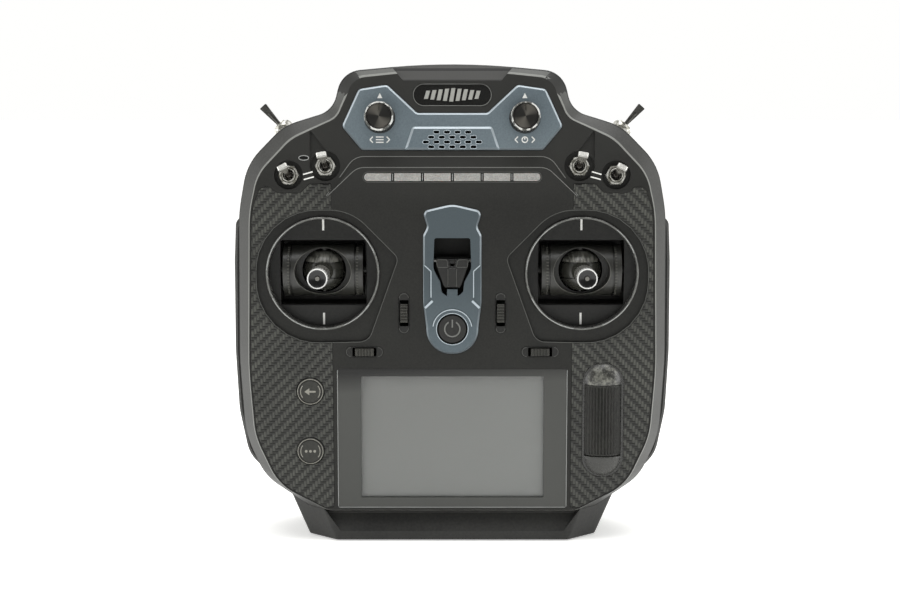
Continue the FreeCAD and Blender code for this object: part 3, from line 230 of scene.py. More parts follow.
def moulded(name, dark, light, rough=(0.42, 0.56), strength=0.25, specular=0.3):
    """Moulded plastic: spark-eroded grain, faint cloudiness, rounded edges."""
    s = Shader(name)
    cloud = s.noise(38.0, 4.0)
    fine = s.noise(900.0, 2.0)
    color = s.blend(s.span(s.math("ADD", cloud, fine), 0.7, 1.3), linear(*dark), linear(*light))
    s.bump(s.grain(FINE_GRAIN), strength, GRAIN_DEPTH, 0.00025)
    return s.finish(color, s.span(cloud, 0.3, 0.7, *rough), specular=specular)


# ---------------------------------------------------------------------------
# Materials
# ---------------------------------------------------------------------------

def front_case_material():
    """Dark grained face with painted light on its leaning shoulders and top facet; a satin bevel with
    painted sheen and a painted highlight line where it meets the face.
    """
    s = Shader("front_case")
    x, y, z = s.axes()
    facing = s.normal()[1]
    out = s.height_over_face()
    flat_out = s.math("MULTIPLY", s.math("ADD", y, -FACE_Y * MM), -1.0)
    front = s.math("MAXIMUM", out, flat_out)
    bevel = s.both(s.above(facing, -0.8), s.below(facing, -0.15))
    bevel = s.both(bevel, s.below(front, -0.02 * MM))
    side = s.above(y, (RIM_Y - 0.1) * MM)
    bevel_highlight_line = s.both(bevel, s.above(front, -RIM_LINE * MM))
    seam = s.both(s.above(y, (RIM_Y - 0.45) * MM), s.below(y, (RIM_Y + 0.25) * MM))
    cloud = s.noise(30.0, 4.0)
    fine = s.noise(1400.0, 2.0)
    mixed = s.span(s.math("ADD", cloud, fine), 0.7, 1.3)
    face = s.blend(mixed, linear(24, 24, 22), linear(35, 35, 32))
    # Painted light: the leaning shoulders are painted lighter, and the brow's facet is painted as a
    # highlight.
    shoulder = s.span(z, SHOULDER_FADE[0] * MM, SHOULDER_FADE[1] * MM)
    face = s.blend(s.math("MULTIPLY", shoulder, 0.8), face, linear(46, 46, 44))
    brow = s.both(s.above(z, BROW[1] * MM), s.below(s.math("ABSOLUTE", x), BROW[0] * MM))
    brow = s.both(brow, s.both(s.above(facing, -0.93), s.below(facing, -0.8)))
    face = s.blend(brow, face, linear(62, 62, 60))
    # Painted sheen: the satin bevel is lighter than the face and lighter still towards the top, and the
    # side wall behind it is painted lighter too; the line where bevel meets face is a painted highlight.
    satin = s.blend(mixed, linear(54, 54, 52), linear(68, 68, 66))
    satin = s.blend(s.span(z, TOP_FADE[0] * MM, TOP_FADE[1] * MM), satin, linear(86, 87, 84))
    color = s.blend(bevel, face, satin)
    color = s.blend(side, color, linear(64, 64, 62))
    color = s.blend(bevel_highlight_line, color, linear(124, 125, 121))
    color = s.blend(seam, color, linear(28, 28, 27))
    rim = s.math("MAXIMUM", bevel, side)
    rough = s.math("ADD", s.span(cloud, 0.3, 0.7, 0.44, 0.54), s.math("MULTIPLY", rim, -0.1))
    s.bump(s.grain(FINE_GRAIN), 0.22, GRAIN_DEPTH, 0.0003)
    return s.finish(color, rough, specular=0.3)


def carbon_material():
    """Two-by-two twill under satin lacquer, mirrored left to right, with painted sheen on its tows."""
    s = Shader("carbon_weave")
    x, _, z = s.axes()
    across = s.math("DIVIDE", s.math("ABSOLUTE", x), TOW * MM)
    up = s.math("DIVIDE", z, TOW * MM)
    step = s.math("ADD", s.math("FLOOR", across), s.math("FLOOR", up))
    warp = s.math("LESS_THAN", s.math("FLOORED_MODULO", step, 4.0), 1.5)

    def crown(place):
        return s.math("SINE", s.math("MULTIPLY", s.math("FRACT", place), math.pi))

    # Painted sheen: each tow is painted lighter at its crown and the warp tows brighter than the weft; the
    # twill pattern itself is the weave's own.
    tows = s.blend(warp, crown(up), crown(across))
    strands = s.noise(500.0, 2.0, space=s.stretched((8.0, 8.0, 1.0)))
    patchy_cloud = s.noise(45.0, 3.0)
    painted_tow_sheen = s.math("MULTIPLY", s.span(tows, 0.0, 0.8, 0.25, 1.0), s.span(warp, 0.0, 1.0, 0.2, 1.0))
    tone = s.math("MULTIPLY", painted_tow_sheen, s.span(s.math("ADD", strands, patchy_cloud), 0.75, 1.25, 0.35, 1.0))
    color = s.blend(tone, linear(22, 22, 20), linear(80, 81, 75))
    s.bump(s.math("ADD", tows, s.math("MULTIPLY", warp, 0.7)), 0.6, 0.0002, 0.0002)
    return s.finish(color, s.span(patchy_cloud, 0.3, 0.7, 0.36, 0.48), specular=0.4)


def plaque_material():
    """Blue-grey anodised metal, finely blasted; painted highlights on edges that look up, painted shade on
    edges that look down.
    """
    s = Shader("plaque_blue")
    cloud = s.noise(16.0, 3.0)
    fine = s.noise(1500.0, 2.0)
    mixed = s.span(s.math("ADD", cloud, s.math("MULTIPLY", fine, 0.6)), 0.5, 1.1)
    color = s.blend(mixed, linear(94, 107, 115), linear(122, 134, 140))
    z = s.axes()[2]
    # The centre plaque is given a darker tone, and painted shade darkens it more towards its top.
    low = s.below(z, PLAQUE_SPLIT * MM)
    centre_tone_and_shade = s.span(z, PLAQUE_FADE[0] * MM, PLAQUE_FADE[1] * MM, 0.5, 0.85)
    color = s.blend(s.both(low, centre_tone_and_shade), color, linear(60, 70, 75))
    # Painted highlight on edges that look up, painted shade on edges that look down.
    _, facing, upward = s.normal()
    edge = s.both(s.above(facing, -0.93), s.below(facing, -0.2))
    color = s.blend(s.both(edge, s.span(upward, -0.05, 0.25, 0.15, 0.75)), color, linear(190, 200, 206))
    color = s.blend(s.both(edge, s.span(upward, -0.1, -0.35, 0.0, 0.55)), color, linear(52, 58, 62))
    s.bump(fine, 0.12, 0.00005, 0.00025)
    return s.finish(color, s.span(cloud, 0.3, 0.7, 0.36, 0.46), metallic=0.35)


def rubber_material():
    """Soft-touch rubber with a fine moulded cross-hatch."""
    s = Shader("rubber")
    _, y, z = s.axes()

    def wave(first, second):
        slant = s.math("ADD", first, second)
        turns = s.math("MULTIPLY", slant, math.pi / (HATCH_PITCH * MM))
        return s.math("ABSOLUTE", s.math("SINE", turns))

    hatch = s.math("MINIMUM", wave(y, z), wave(y, s.math("MULTIPLY", z, -1.0)))
    cloud = s.noise(40.0, 3.0)
    height = s.math("ADD", s.span(hatch, 0.0, 0.35), s.math("MULTIPLY", s.noise(1800.0), 0.2))
    color = s.blend(cloud, linear(34, 34, 33), linear(50, 50, 48))
    s.bump(height, 0.7, 0.0003, 0.0004)
    return s.finish(color, 0.72, specular=0.3)


def chrome_material(name, light, dark, rough, metallic=1.0):
    """Plated or bare metal: mottled between two tones and slightly uneven."""
    s = Shader(name)
    cloud = s.span(s.noise(420.0, 3.0, 0.6), 0.36, 0.64)
    s.bump(s.noise(1500.0), 0.05, 0.00004, 0.00015)
    color = s.blend(cloud, linear(*light), linear(*dark))
    return s.finish(color, s.span(cloud, 0.3, 0.7, rough, rough + 0.1), metallic=metallic)


def nut_material():
    """Plated nuts and bushings of the toggles, with painted shade as dark rings in the gaps round the
    bushings and in the levers' bores.
    """
    s = Shader("nut_chrome")
    x, _, z = s.axes()
    out = s.height_over_face()
    rise = s.math("SUBTRACT", z, s.math("MULTIPLY", out, OUT.z))
    reach = None
    for centre_x, centre_z in NUT_CENTRES:
        along = s.math("SUBTRACT", s.math("ABSOLUTE", x), centre_x * MM)
        near = s.reach(along, s.math("SUBTRACT", rise, centre_z * MM))
        reach = near if reach is None else s.math("MINIMUM", reach, near)
    speck = s.span(s.noise(460.0, 3.0, 0.6), 0.4, 0.6)
    color = s.blend(speck, linear(236, 235, 228), linear(132, 130, 120))
    ring, bore = [
        s.both(s.above(reach, inner * MM), s.below(reach, outer * MM)) for inner, outer in BUSHING_RINGS
    ]
    # Painted shade: dark rings in the gap round the bushing and in the lever's bore, on their fronts only.
    dark = s.both(s.math("MAXIMUM", ring, bore), s.above(out, -2.6 * MM))
    color = s.blend(s.math("MULTIPLY", dark, 0.85), color, linear(34, 32, 28))
    s.bump(s.noise(1500.0), 0.05, 0.00004, 0.00012)
    return s.finish(color, s.span(speck, 0.0, 1.0, 0.16, 0.28), metallic=0.55)


def diffuser_material():
    """Frosted light guide with a pebbled, slightly translucent surface."""
    s = Shader("light_diffuser")
    fine = s.grain(1500.0)
    cloud = s.noise(260.0, 3.0)
    mottle = s.math("MULTIPLY", s.math("ADD", fine, cloud), 0.5)
    color = s.blend(mottle, linear(108, 107, 104), linear(186, 185, 181))
    s.bump(fine, 0.5, 0.0001, 0.0003)
    s.principled.inputs["Subsurface Weight"].default_value = 0.1
    s.principled.inputs["Subsurface Scale"].default_value = 0.001
    return s.finish(color, 0.38)


def glass_material():
    """Cover glass: printed grey round the display, nearly clear in front of it, with painted shade
    darkening it under its top edge.
    """
    s = Shader("screen_glass")
    x, _, z = s.axes()
    smear = s.noise(22.0, 4.0)
    across = s.below(s.math("ABSOLUTE", x), WINDOW[0] * MM)
    window = s.both(across, s.both(s.above(z, WINDOW[1] * MM), s.below(z, WINDOW[2] * MM)))
    s.feed(s.principled.inputs["Alpha"], s.span(window, 0.0, 1.0, 1.0, 0.12))
    s.principled.inputs["IOR"].default_value = 1.5
    color = s.blend(smear, linear(60, 61, 58), linear(72, 73, 70))
    # Painted shade under the recess's top edge, slanting a little across the glass.
    slant = s.math("SUBTRACT", z, s.math("MULTIPLY", x, GLASS_SHADE_SLOPE))
    shade = s.span(slant, GLASS_SHADE[0] * MM, GLASS_SHADE[1] * MM)
    color = s.blend(shade, color, linear(14, 14, 13))
    return s.finish(color, s.span(smear, 0.3, 0.7, 0.12, 0.2), specular=0.35)


def display_material():
    """Unlit display: mid grey, with painted light in a slow drift from lower left to upper right."""
    s = Shader("lcd_grey")
    x, _, z = s.axes()
    half, low, high = [edge * MM for edge in WINDOW]
    # Painted light: a slow gradient across the display.
    drift = s.math("ADD", s.span(x, -half, half, 0.0, 0.5), s.span(z, high, low, 0.0, 0.5))
    cells = s.noise(2400.0, 1.0)
    mixed = s.math("ADD", drift, s.math("MULTIPLY", cells, 0.06))
    color = s.blend(mixed, linear(142, 143, 141), linear(154, 156, 154))
    return s.finish(color, s.span(cells, 0.3, 0.7, 0.4, 0.5))


def knob_material():
    """Black ribbed knob, a polished rim round its top painted bright as a highlight, and a turned top with
    fine rings and a painted fan of sheen.
    """
    s = Shader("knob_finish")
    x, _, z = s.axes()
    out = s.height_over_face()
    centre_z = KNOB[1] * MM
    along = s.math("SUBTRACT", s.math("ABSOLUTE", x), KNOB[0] * MM)
    rise = s.math("SUBTRACT", s.math("SUBTRACT", z, s.math("MULTIPLY", out, OUT.z)), centre_z)
    reach = s.reach(along, rise)
    top = s.above(out, (KNOB_TOP - KNOB_RIM_DEEP) * MM)
    rim = s.both(top, s.above(reach, KNOB_RIM_R * MM))
    disc = s.both(top, s.below(reach, KNOB_DISC_R * MM))
    cloud = s.noise(60.0, 3.0)
    rings = s.math("SINE", s.math("MULTIPLY", reach, 2 * math.pi / (TURNING_PITCH * MM)))
    # Painted sheen: a fan of lighter sectors on the turned top.
    fan = s.math("ABSOLUTE", s.math("SINE", s.math("ADD", s.math("ARCTAN2", rise, along), 0.5)))
    turned = s.blend(s.span(fan, 0.55, 1.0), linear(34, 33, 31), linear(92, 89, 83))
    body = s.blend(cloud, linear(20, 20, 19), linear(34, 34, 32))
    color = s.blend(disc, body, turned)
    # Painted highlight on the polished rim.
    glint = s.blend(s.span(s.noise(300.0, 3.0), 0.46, 0.52), linear(104, 104, 100), linear(240, 240, 236))
    color = s.blend(rim, color, glint)
    metal = s.math("ADD", s.math("MULTIPLY", rim, 0.25), s.math("MULTIPLY", disc, 0.55))
    rough = s.blend(rim, (0.42, 0.42, 0.42, 1.0), (0.16, 0.16, 0.16, 1.0))
    s.bump(s.math("MULTIPLY", rings, disc), 0.3, 0.00004)
    return s.finish(color, rough, metallic=metal)


def stick_end_material():
    """Polished stick end with a black dished face and a small bright centre."""
    s = Shader("stick_end")
    x, y, z = s.axes()
    along = s.math("SUBTRACT", s.math("ABSOLUTE", x), GIMBAL.x * MM)
    rise = s.math("SUBTRACT", z, GIMBAL.z * MM)
    reach = s.reach(along, rise)
    face = s.both(s.below(reach, STICK_FACE[0] * MM), s.below(y, STICK_FACE[1] * MM))
    bead = s.both(s.below(reach, STICK_BEAD[0] * MM), s.below(y, STICK_BEAD[1] * MM))
    shank = s.above(y, STICK_SHANK_Y * MM)
    cloud = s.noise(220.0, 3.0)
    color = s.blend(cloud, linear(242, 242, 240), linear(206, 206, 204))
    color = s.blend(shank, color, linear(120, 119, 114))
    color = s.blend(face, color, linear(12, 12, 12))
    color = s.blend(bead, color, linear(110, 108, 102))
    metal = s.span(face, 0.0, 1.0, 0.35, 0.0)
    s.bump(s.noise(1500.0), 0.05, 0.00004, 0.00012)
    return s.finish(color, s.span(cloud, 0.3, 0.7, 0.16, 0.26), metallic=metal)


def ball_material():
    """Gimbal ball: dark below its upper groove, a painted highlight with short vertical streaks above it.
    """
    s = Shader("ball_black")
    z = s.axes()[2]
    cloud = s.noise(70.0, 3.0)
    streaks = s.noise(260.0, 3.0, 0.6, space=s.stretched((4.0, 1.0, 0.7)))
    groove, above, crown = [(GIMBAL.z + rise) * MM for rise in BALL_SHEEN]
    # Painted highlight on the dome above the groove, fading towards its crown.
    dome = s.span(z, groove, above)
    lit = s.span(z, groove, crown, 1.0, 0.25)
    base = s.blend(cloud, linear(40, 40, 36), linear(58, 58, 53))
    sheen = s.blend(s.span(streaks, 0.42, 0.6), linear(70, 70, 65), linear(146, 145, 137))
    color = s.blend(s.both(dome, lit), base, sheen)
    s.bump(s.grain(FINE_GRAIN), 0.08, GRAIN_DEPTH, 0.00025)
    return s.finish(color, s.span(cloud, 0.3, 0.7, 0.22, 0.32), specular=0.6)


def lever_material():
    """Toggle lever: painted shade inside its bushing, a painted highlight on the paddle."""
    s = Shader("paddle_metal")
    out = s.height_over_face()
    (neck, shoulder), (flare, paddle) = [[height * MM for height in zone] for zone in LEVER_ZONES]
    cloud = s.noise(220.0, 3.0)
    # Painted highlight on the paddle, painted shade on the neck inside the bushing.
    bright = s.blend(cloud, linear(240, 239, 234), linear(206, 205, 200))
    shank = s.blend(s.span(out, neck, shoulder), linear(46, 43, 39), linear(128, 126, 120))
    color = s.blend(s.span(out, flare, paddle), shank, bright)
    s.bump(s.noise(900.0), 0.08, 0.00004, 0.00015)
    metal = s.span(out, neck, shoulder, 0.3, 0.4)
    return s.finish(color, s.span(cloud, 0.3, 0.7, 0.24, 0.34), metallic=metal)


def plain_material(name, dark, light, rough, metallic=0.0, strength=0.02):
    """Paint, print or smooth plastic: two close tones and a faint grain."""
    s = Shader(name)
    cloud = s.noise(120.0, 3.0)
    s.bump(s.grain(1800.0), strength, 0.00005, 0.00015)
    color = s.blend(cloud, linear(*dark), linear(*light))
    return s.finish(color, s.span(cloud, 0.3, 0.7, rough, rough + 0.12), metallic=metallic)


def bezel_material():
    """Glossy smoked plastic round the roller, with a painted highlight of cloudy bright patches on its
    upper dome and a faint one on its lower end.
    """
    s = Shader("bezel_gloss")
    x, _, z = s.axes()
    patch = s.span(s.noise(430.0, 5.0, 0.66), 0.44, 0.62)
    across = s.math("SUBTRACT", x, ROLLER_X * MM)
    outer, inner = [radius * MM for radius in BEZEL_FADE]
    low, top = [
        s.span(s.reach(across, s.math("SUBTRACT", z, centre * MM)), outer, inner) for centre in ROLLER_ENDS
    ]
    dome = s.both(top, s.above(z, BEZEL_DOMES[1] * MM))
    foot = s.both(low, s.below(z, BEZEL_DOMES[0] * MM))
    fine = s.noise(900.0, 2.0)
    color = s.blend(fine, linear(28, 28, 26), linear(42, 42, 39))
    # Painted highlights: faint on the lower end, cloudy bright patches on the upper dome.
    color = s.blend(s.math("MULTIPLY", foot, 0.5), color, linear(56, 56, 52))
    color = s.blend(s.both(s.span(patch, 0.0, 1.0, 0.1, 1.0), dome), color, linear(122, 122, 114))
    s.bump(patch, 0.25, 0.0002, 0.0004)
    return s.finish(color, s.span(fine, 0.3, 0.7, 0.2, 0.3), specular=0.6)


def board_material():
    """Green board with a faint grid of tracks."""
    s = Shader("circuit_board")
    cloud = s.noise(60.0, 2.0)
    tracks = s.node("TexBrick")
    s.link(s.stretched((180.0, 180.0, 180.0)), tracks.inputs["Vector"])
    color = s.blend(s.math("MULTIPLY", tracks.outputs["Fac"], 0.4), linear(16, 62, 34), linear(60, 120, 70))
    s.bump(cloud, 0.1, 0.0001)
    return s.finish(color, 0.35)


MATERIALS = {
    "front_case": front_case_material(),
    "case_black": moulded("case_black", (34, 34, 32), (48, 48, 45)),
    "foot_black": moulded("foot_black", (38, 38, 37), (52, 52, 50), rough=(0.4, 0.5)),
    "rubber": rubber_material(),
    "carbon_weave": carbon_material(),
    "plaque_blue": plaque_material(),
    "gloss_black": plain_material("gloss_black", (14, 14, 13), (24, 24, 22), 0.14),
    "light_diffuser": diffuser_material(),
    "ring_metal": chrome_material("ring_metal", (112, 112, 109), (66, 66, 64), 0.26, metallic=0.6),
    "nut_chrome": nut_material(),
    "paddle_metal": lever_material(),
    "gunmetal": chrome_material("gunmetal", (92, 91, 88), (66, 66, 63), 0.34),
    # gimbal_black and plate_black are copies of one black plastic; gimbal_black is painted lighter to make
    # up for the shade in the drums' cavities.
    "gimbal_black": moulded("gimbal_black", (36, 36, 34), (52, 52, 48), rough=(0.3, 0.42), specular=0.5),
    "plate_black": moulded("plate_black", (26, 26, 25), (37, 37, 35), rough=(0.34, 0.46)),
    "ball_black": ball_material(),
    "stick_metal": stick_end_material(),
    "knob_black": knob_material(),
    "roller_black": moulded("roller_black", (42, 42, 40), (62, 62, 58), rough=(0.34, 0.46)),
    "control_black": moulded("control_black", (18, 18, 17), (30, 30, 28), rough=(0.26, 0.36), specular=0.4),
    "trim_grey": moulded("trim_grey", (46, 46, 42), (64, 63, 58), rough=(0.36, 0.46)),
    # tray_black is painted near black as shade in the strap hook's recess; it also fills the shoulder oval.
    "tray_black": moulded("tray_black", (12, 12, 11), (20, 20, 18), rough=(0.4, 0.5), specular=0.2),
    "bezel_gloss": bezel_material(),
    "button_grey": moulded("button_grey", (44, 44, 41), (57, 57, 53), rough=(0.4, 0.5)),
    "screen_glass": glass_material(),
    "lcd_grey": display_material(),
    "lcd_border": plain_material("lcd_border", (70, 71, 69), (80, 81, 78), 0.3),
    "inner_plastic": moulded("inner_plastic", (30, 30, 30), (44, 44, 44)),
    "circuit_board": board_material(),
    "steel": chrome_material("steel", (170, 170, 168), (130, 130, 128), 0.3),
    "print_white": plain_material("print_white", (226, 226, 222), (246, 246, 242), 0.5),
    "print_grey": plain_material("print_grey", (132, 130, 121), (152, 150, 141), 0.45),
    # light_edge, edge_light, edge_grey, edge_dim and comb_light mostly colour thin lines that are painted
    # highlights; they also colour the light bar's webs and outline, the badge outline, the shoulder oval
    # and the power symbol.
    "light_edge": plain_material("light_edge", (170, 182, 190), (196, 206, 212), 0.3, metallic=0.3),
    "edge_light": plain_material("edge_light", (150, 152, 150), (176, 178, 176), 0.35),
    "edge_grey": plain_material("edge_grey", (104, 105, 102), (124, 125, 121), 0.4),
    "edge_dim": plain_material("edge_dim", (62, 63, 60), (82, 83, 79), 0.4),
    "comb_light": plain_material("comb_light", (70, 70, 65), (98, 98, 92), 0.35),
    "comb_grey": plain_material("comb_grey", (66, 66, 61), (92, 92, 85), 0.35),
    "emblem_silver": plain_material("emblem_silver", (196, 196, 190), (168, 168, 162), 0.32, metallic=0.5),
}

NODE_LOOKS = {
    "front_case": ["front_cover"],
    "case_black": ["rear_cover", "module_bay_cover", "battery_cover"],
    "foot_black": ["base_foot"],
    "rubber": ["grips", "foot_pads", "screen_gasket"],
    "carbon_weave": ["side_panels"],
    "bezel_gloss": ["roller_bezel"],
    "plaque_blue": ["console_plaque", "centre_plaque"],
    "gloss_black": ["badge_window"],
    "light_diffuser": ["light_bar"],
    "ring_metal": ["gimbal_bezels"],
    "nut_chrome": ["switch_nuts", "switch_bodies"],
    "paddle_metal": ["toggle_inner_left", "toggle_inner_right", "toggle_outer_left", "toggle_outer_right"],
    "gunmetal": ["toggle_shoulder_left", "toggle_shoulder_right"],
    "gimbal_black": ["gimbal_frames", "gimbal_cradle_left", "gimbal_cradle_right", "control_brackets",
                     "gimbal_sensors"],
    "plate_black": ["gimbal_plates", "trim_bezels"],
    "tray_black": ["hook_tray"],
    "trim_grey": ["trim_pitch_left", "trim_pitch_right", "trim_roll_left", "trim_roll_right"],
    "ball_black": ["gimbal_ball_left", "gimbal_ball_right"],
    "stick_metal": ["stick_end_left", "stick_end_right"],
    "knob_black": ["knob_left", "knob_right"],
    "roller_black": ["scroll_roller"],
    "control_black": ["power_button", "strap_hook", "button_switches"],
    "button_grey": ["button_upper", "button_lower"],
    "screen_glass": ["screen_glass"],
    "lcd_grey": ["lcd_panel"],
    "lcd_border": ["lcd_module"],
    "inner_plastic": ["knob_pots", "speaker", "battery_pack"],
    "circuit_board": ["main_board", "antenna_and_light_boards"],
    "steel": ["case_screws", "axle_pins", "gimbal_springs", "vibration_motor", "usb_socket"],
}


def dress_nodes():
    """Give each CAD node its finished material."""
    for look, names in NODE_LOOKS.items():
        for name in names:
            slots = NODES[name].data.materials
            slots.clear()
            slots.append(MATERIALS[look])


# ---------------------------------------------------------------------------
# Piece helpers
# ---------------------------------------------------------------------------

def add_piece(name, mesh_data, look, body):
    """Link a finished mesh as a piece that rides on a body."""
    piece = bpy.data.objects.new(name, mesh_data)
    bpy.context.scene.collection.objects.link(piece)
    piece.data.materials.append(MATERIALS[look])
    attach(piece, body)
    return piece


def front_mesh(name, shapes, depth, thickness):
    """Flat prisms on a front surface.

    Each shape is a list of (x, z) corners in millimetres; depth(x, z) is the y of the surface.
    """
    work = bmesh.new()
    for corners in shapes:
        front = [work.verts.new((x * MM, (depth(x, z) - thickness) * MM, z * MM)) for x, z in corners]
        back = [work.verts.new((x * MM, (depth(x, z) + 0.1) * MM, z * MM)) for x, z in corners]
        work.faces.new(front)
        work.faces.new(back[::-1])
        count = len(corners)
        for here in range(count):
            there = (here + 1) % count
            work.faces.new((front[here], back[here], back[there], front[there]))
    bmesh.ops.recalc_face_normals(work, faces=work.faces)
    made = bpy.data.meshes.new(name)
    work.to_mesh(made)
    work.free()
    return made


def stroke(points, width):
    """Corner lists of the straight runs of a line of one width."""
    runs = []
    for (ax, az), (bx, bz) in zip(points, points[1:]):
        length = math.hypot(bx - ax, bz - az)
        sx, sz = (bz - az) / length * width / 2, -(bx - ax) / length * width / 2
        runs.append([(ax + sx, az + sz), (bx + sx, bz + sz), (bx - sx, bz - sz), (ax - sx, az - sz)])
    return runs


def arc_points(cx, cz, radius, start, end, steps=24):
    """Points on an arc; the angles are in degrees from +X towards +Z."""
    angles = [math.radians(start + (end - start) * k / steps) for k in range(steps + 1)]
    return [(cx + radius * math.cos(a), cz + radius * math.sin(a)) for a in angles]


def oval_points(cx, cz, half_wide, half_tall, steps=32):
    """Points round an ellipse, the last on the first."""
    angles = [2 * math.pi * k / steps for k in range(steps + 1)]
    return [(cx + half_wide * math.cos(a), cz + half_tall * math.sin(a)) for a in angles]


def band(cx, cz, radius, width, start=0.0, end=360.0, steps=48):
    """Corner lists of a curved line of one width."""
    outer = arc_points(cx, cz, radius + width / 2, start, end, steps)
    inner = arc_points(cx, cz, radius - width / 2, start, end, steps)
    return [[outer[k], outer[k + 1], inner[k + 1], inner[k]] for k in range(steps)]


def box_shape(low_x, low_z, high_x, high_z):
    """Corners of a plain rectangle."""
    return [(low_x, low_z), (high_x, low_z), (high_x, high_z), (low_x, high_z)]


def rounded(corners, steps=8):
    """Points of a closed outline whose corners, (x, z, radius), are rounded by arcs."""
    points = []
    count = len(corners)
    for k in range(count):
        here = Vector(corners[k][:2])
        back = (Vector(corners[k - 1][:2]) - here).normalized()
        ahead = (Vector(corners[(k + 1) % count][:2]) - here).normalized()
        half = (math.pi - back.angle(ahead)) / 2
        radius = corners[k][2]
        if radius <= 0 or half < 1e-3:
            points.append(tuple(here))
            continue
        middle = here + (back + ahead).normalized() * (radius / math.cos(half))
        start = here + back * radius * math.tan(half) - middle
        finish = here + ahead * radius * math.tan(half) - middle
        for n in range(steps + 1):
            share = n / steps
            spoke = (start * (1 - share) + finish * share).normalized() * radius
            points.append(tuple(middle + spoke))
    return points


def whole(half):
    """A full outline from the corners of its right half."""
    return list(half) + [(-x, z, r) for x, z, r in reversed(half) if abs(x) > 1e-6]


def outline(corners, width):
    """Corner lists of a line of one width along a rounded outline."""
    points = rounded(corners)
    points.append(points[0])
    clean = [points[0]]
    for point in points[1:]:
        if math.dist(point, clean[-1]) > 0.02:
            clean.append(point)
    return stroke(clean, width)


def rectangle(low_x, high_x, low_z, high_z, radius):
    """Corners of a rounded rectangle, clockwise from the upper left."""
    places = [(low_x, high_z), (high_x, high_z), (high_x, low_z), (low_x, low_z)]
    return [(x, z, radius) for x, z in places]


def at_depth(y):
    """A surface of one depth, for front_mesh."""
    return lambda x, z: y


def on_lean(height):
    """A surface a little in front of the leaning upper face."""
    return lambda x, z: face_depth(z) - height / math.cos(TILT)


def detail(name, shapes, surface, thickness, look, body="housing", slot="light_diffuser"):
    """A flat detail on a front surface, used for print, moulded marks and painted highlight lines."""
    return add_piece(name, front_mesh(name, shapes, surface, thickness), look, body)


# ---------------------------------------------------------------------------
# Outlines and measures that the details follow, in millimetres, as in the CAD model
# ---------------------------------------------------------------------------
DISH = ((23.6, 127.5, 4.0), (44.5, 148.6, 22.0), (86.2, 148.6, 27.0), (86.2, 89.4, 27.0), (36.9, 90.4, 6.0))
PANEL_FOOT = ((42.6, 171.9, 8.0), (54.9, 155.0, 1.0), (54.9, 150.0, 1.0))
PANEL_TOP = ((41.4, 167.2, 8.0), (54.3, 155.0, 1.0), (54.3, 150.0, 1.0))
BADGE = rectangle(-17.0, 17.0, 193.9, 203.3, 4.6)
BADGE_Z = 198.6
GLASS = (-50.9, 50.9, 15.6, 78.1)
HOOK_PAD = ((2.3, 126.9, 1.0), (7.0, 126.9, 0.6), (6.5, 123.6, 0.4), (1.9, 123.6, 0.3))
HOOK_CREASE = ((1.9, 122.8), (1.9, 115.0))
PANEL_LINE_LOW = 153.0
LINK_BARS = (((65.1, 164.1), (60.9, 165.3)), ((64.8, 161.9), (60.4, 163.1)))
OVAL_MARK = (-64.8, 171.3)
PLAQUE_LINE = ((12.2, 124.4), (9.35, 121.8), (9.35, 110.2))
PLAQUE_BAR = ((8.7, 108.7), (12.0, 105.6))
ROUND_BUTTONS = (("upper", -62.9, 68.2), ("lower", -63.1, 41.3))
TRIM_UP = (21.3, 103.2)
TRIM_FLAT = (38.8, 85.9)
TRIM_SLOT = (6.7, 6.0)                          # centre to round end, of the upright and level slots
TRIM_SLOT_R = 2.0
DRUM_R = 11.6
DRUM_OVAL = (12.6, 10.45)
COMB_X = 15.1
COMB_COUNT = 19
COMB_SPREAD = 124                               # degrees
COMB_RIDGE = (0.95, 0.5, 0.42)
RING_Z = 120.6
RING_LINE_R = 24.5
RING_LINE_WIDE = 0.34
RING_PROUD = 0.4
GLINT_ARCS = ((22.0, 52.0), (118.0, 176.0), (206.0, 262.0), (292.0, 326.0))
CENTRE_MARKS = ((139.3, 144.2), (97.4, 102.6))
CONSOLE_HEIGHT = 0.6
SPEAKER_HEIGHT = 1.2
POINTER = (1.15, 197.1, 199.4)                  # half width, foot and tip
ICON_Z = 179.2
GRILLE_ROWS = ((4, 182.5), (5, 180.3), (6, 178.2), (5, 176.1))
GRILLE_PITCH = 4.6
GRILLE_SLOT = (1.42, 0.77, 0.72)                # half width, half height and corner radius
EMBLEM_PITCH = 2.75
WEB_XS = (-26.0, -13.0, 0.0, 13.0, 26.0)
BAR_LINE = rectangle(-38.9, 38.9, 160.8, 165.2, 2.1)
PLAQUE_Y = FACE_Y - 0.9


def add_gimbal_marks():
    """White centre marks above and below each stick."""
    for sign, side in SIDES:
        x = sign * GIMBAL.x
        marks = [box_shape(x - 0.45, low, x + 0.45, high) for low, high in CENTRE_MARKS]
        detail("gimbal_marks_" + side, marks, at_depth(PLATE_FRONT), 0.06, "print_white")


def add_ring_lines():
    """Painted highlights along the thin polished edges of the gimbal bezels, brighter on some arcs."""
    for sign, side in SIDES:
        x = sign * GIMBAL.x
        front = at_depth(FACE_Y - RING_PROUD)
        circle = band(x, RING_Z, RING_LINE_R, RING_LINE_WIDE, steps=96)
        detail("ring_line_" + side, circle, front, 0.04, "edge_grey", slot="chrome")
        glints = []
        for start, end in GLINT_ARCS:
            glints += band(x, RING_Z, RING_LINE_R, RING_LINE_WIDE, start, end, 24)
        detail("ring_glints_" + side, glints, front, 0.06, "edge_light", slot="chrome")


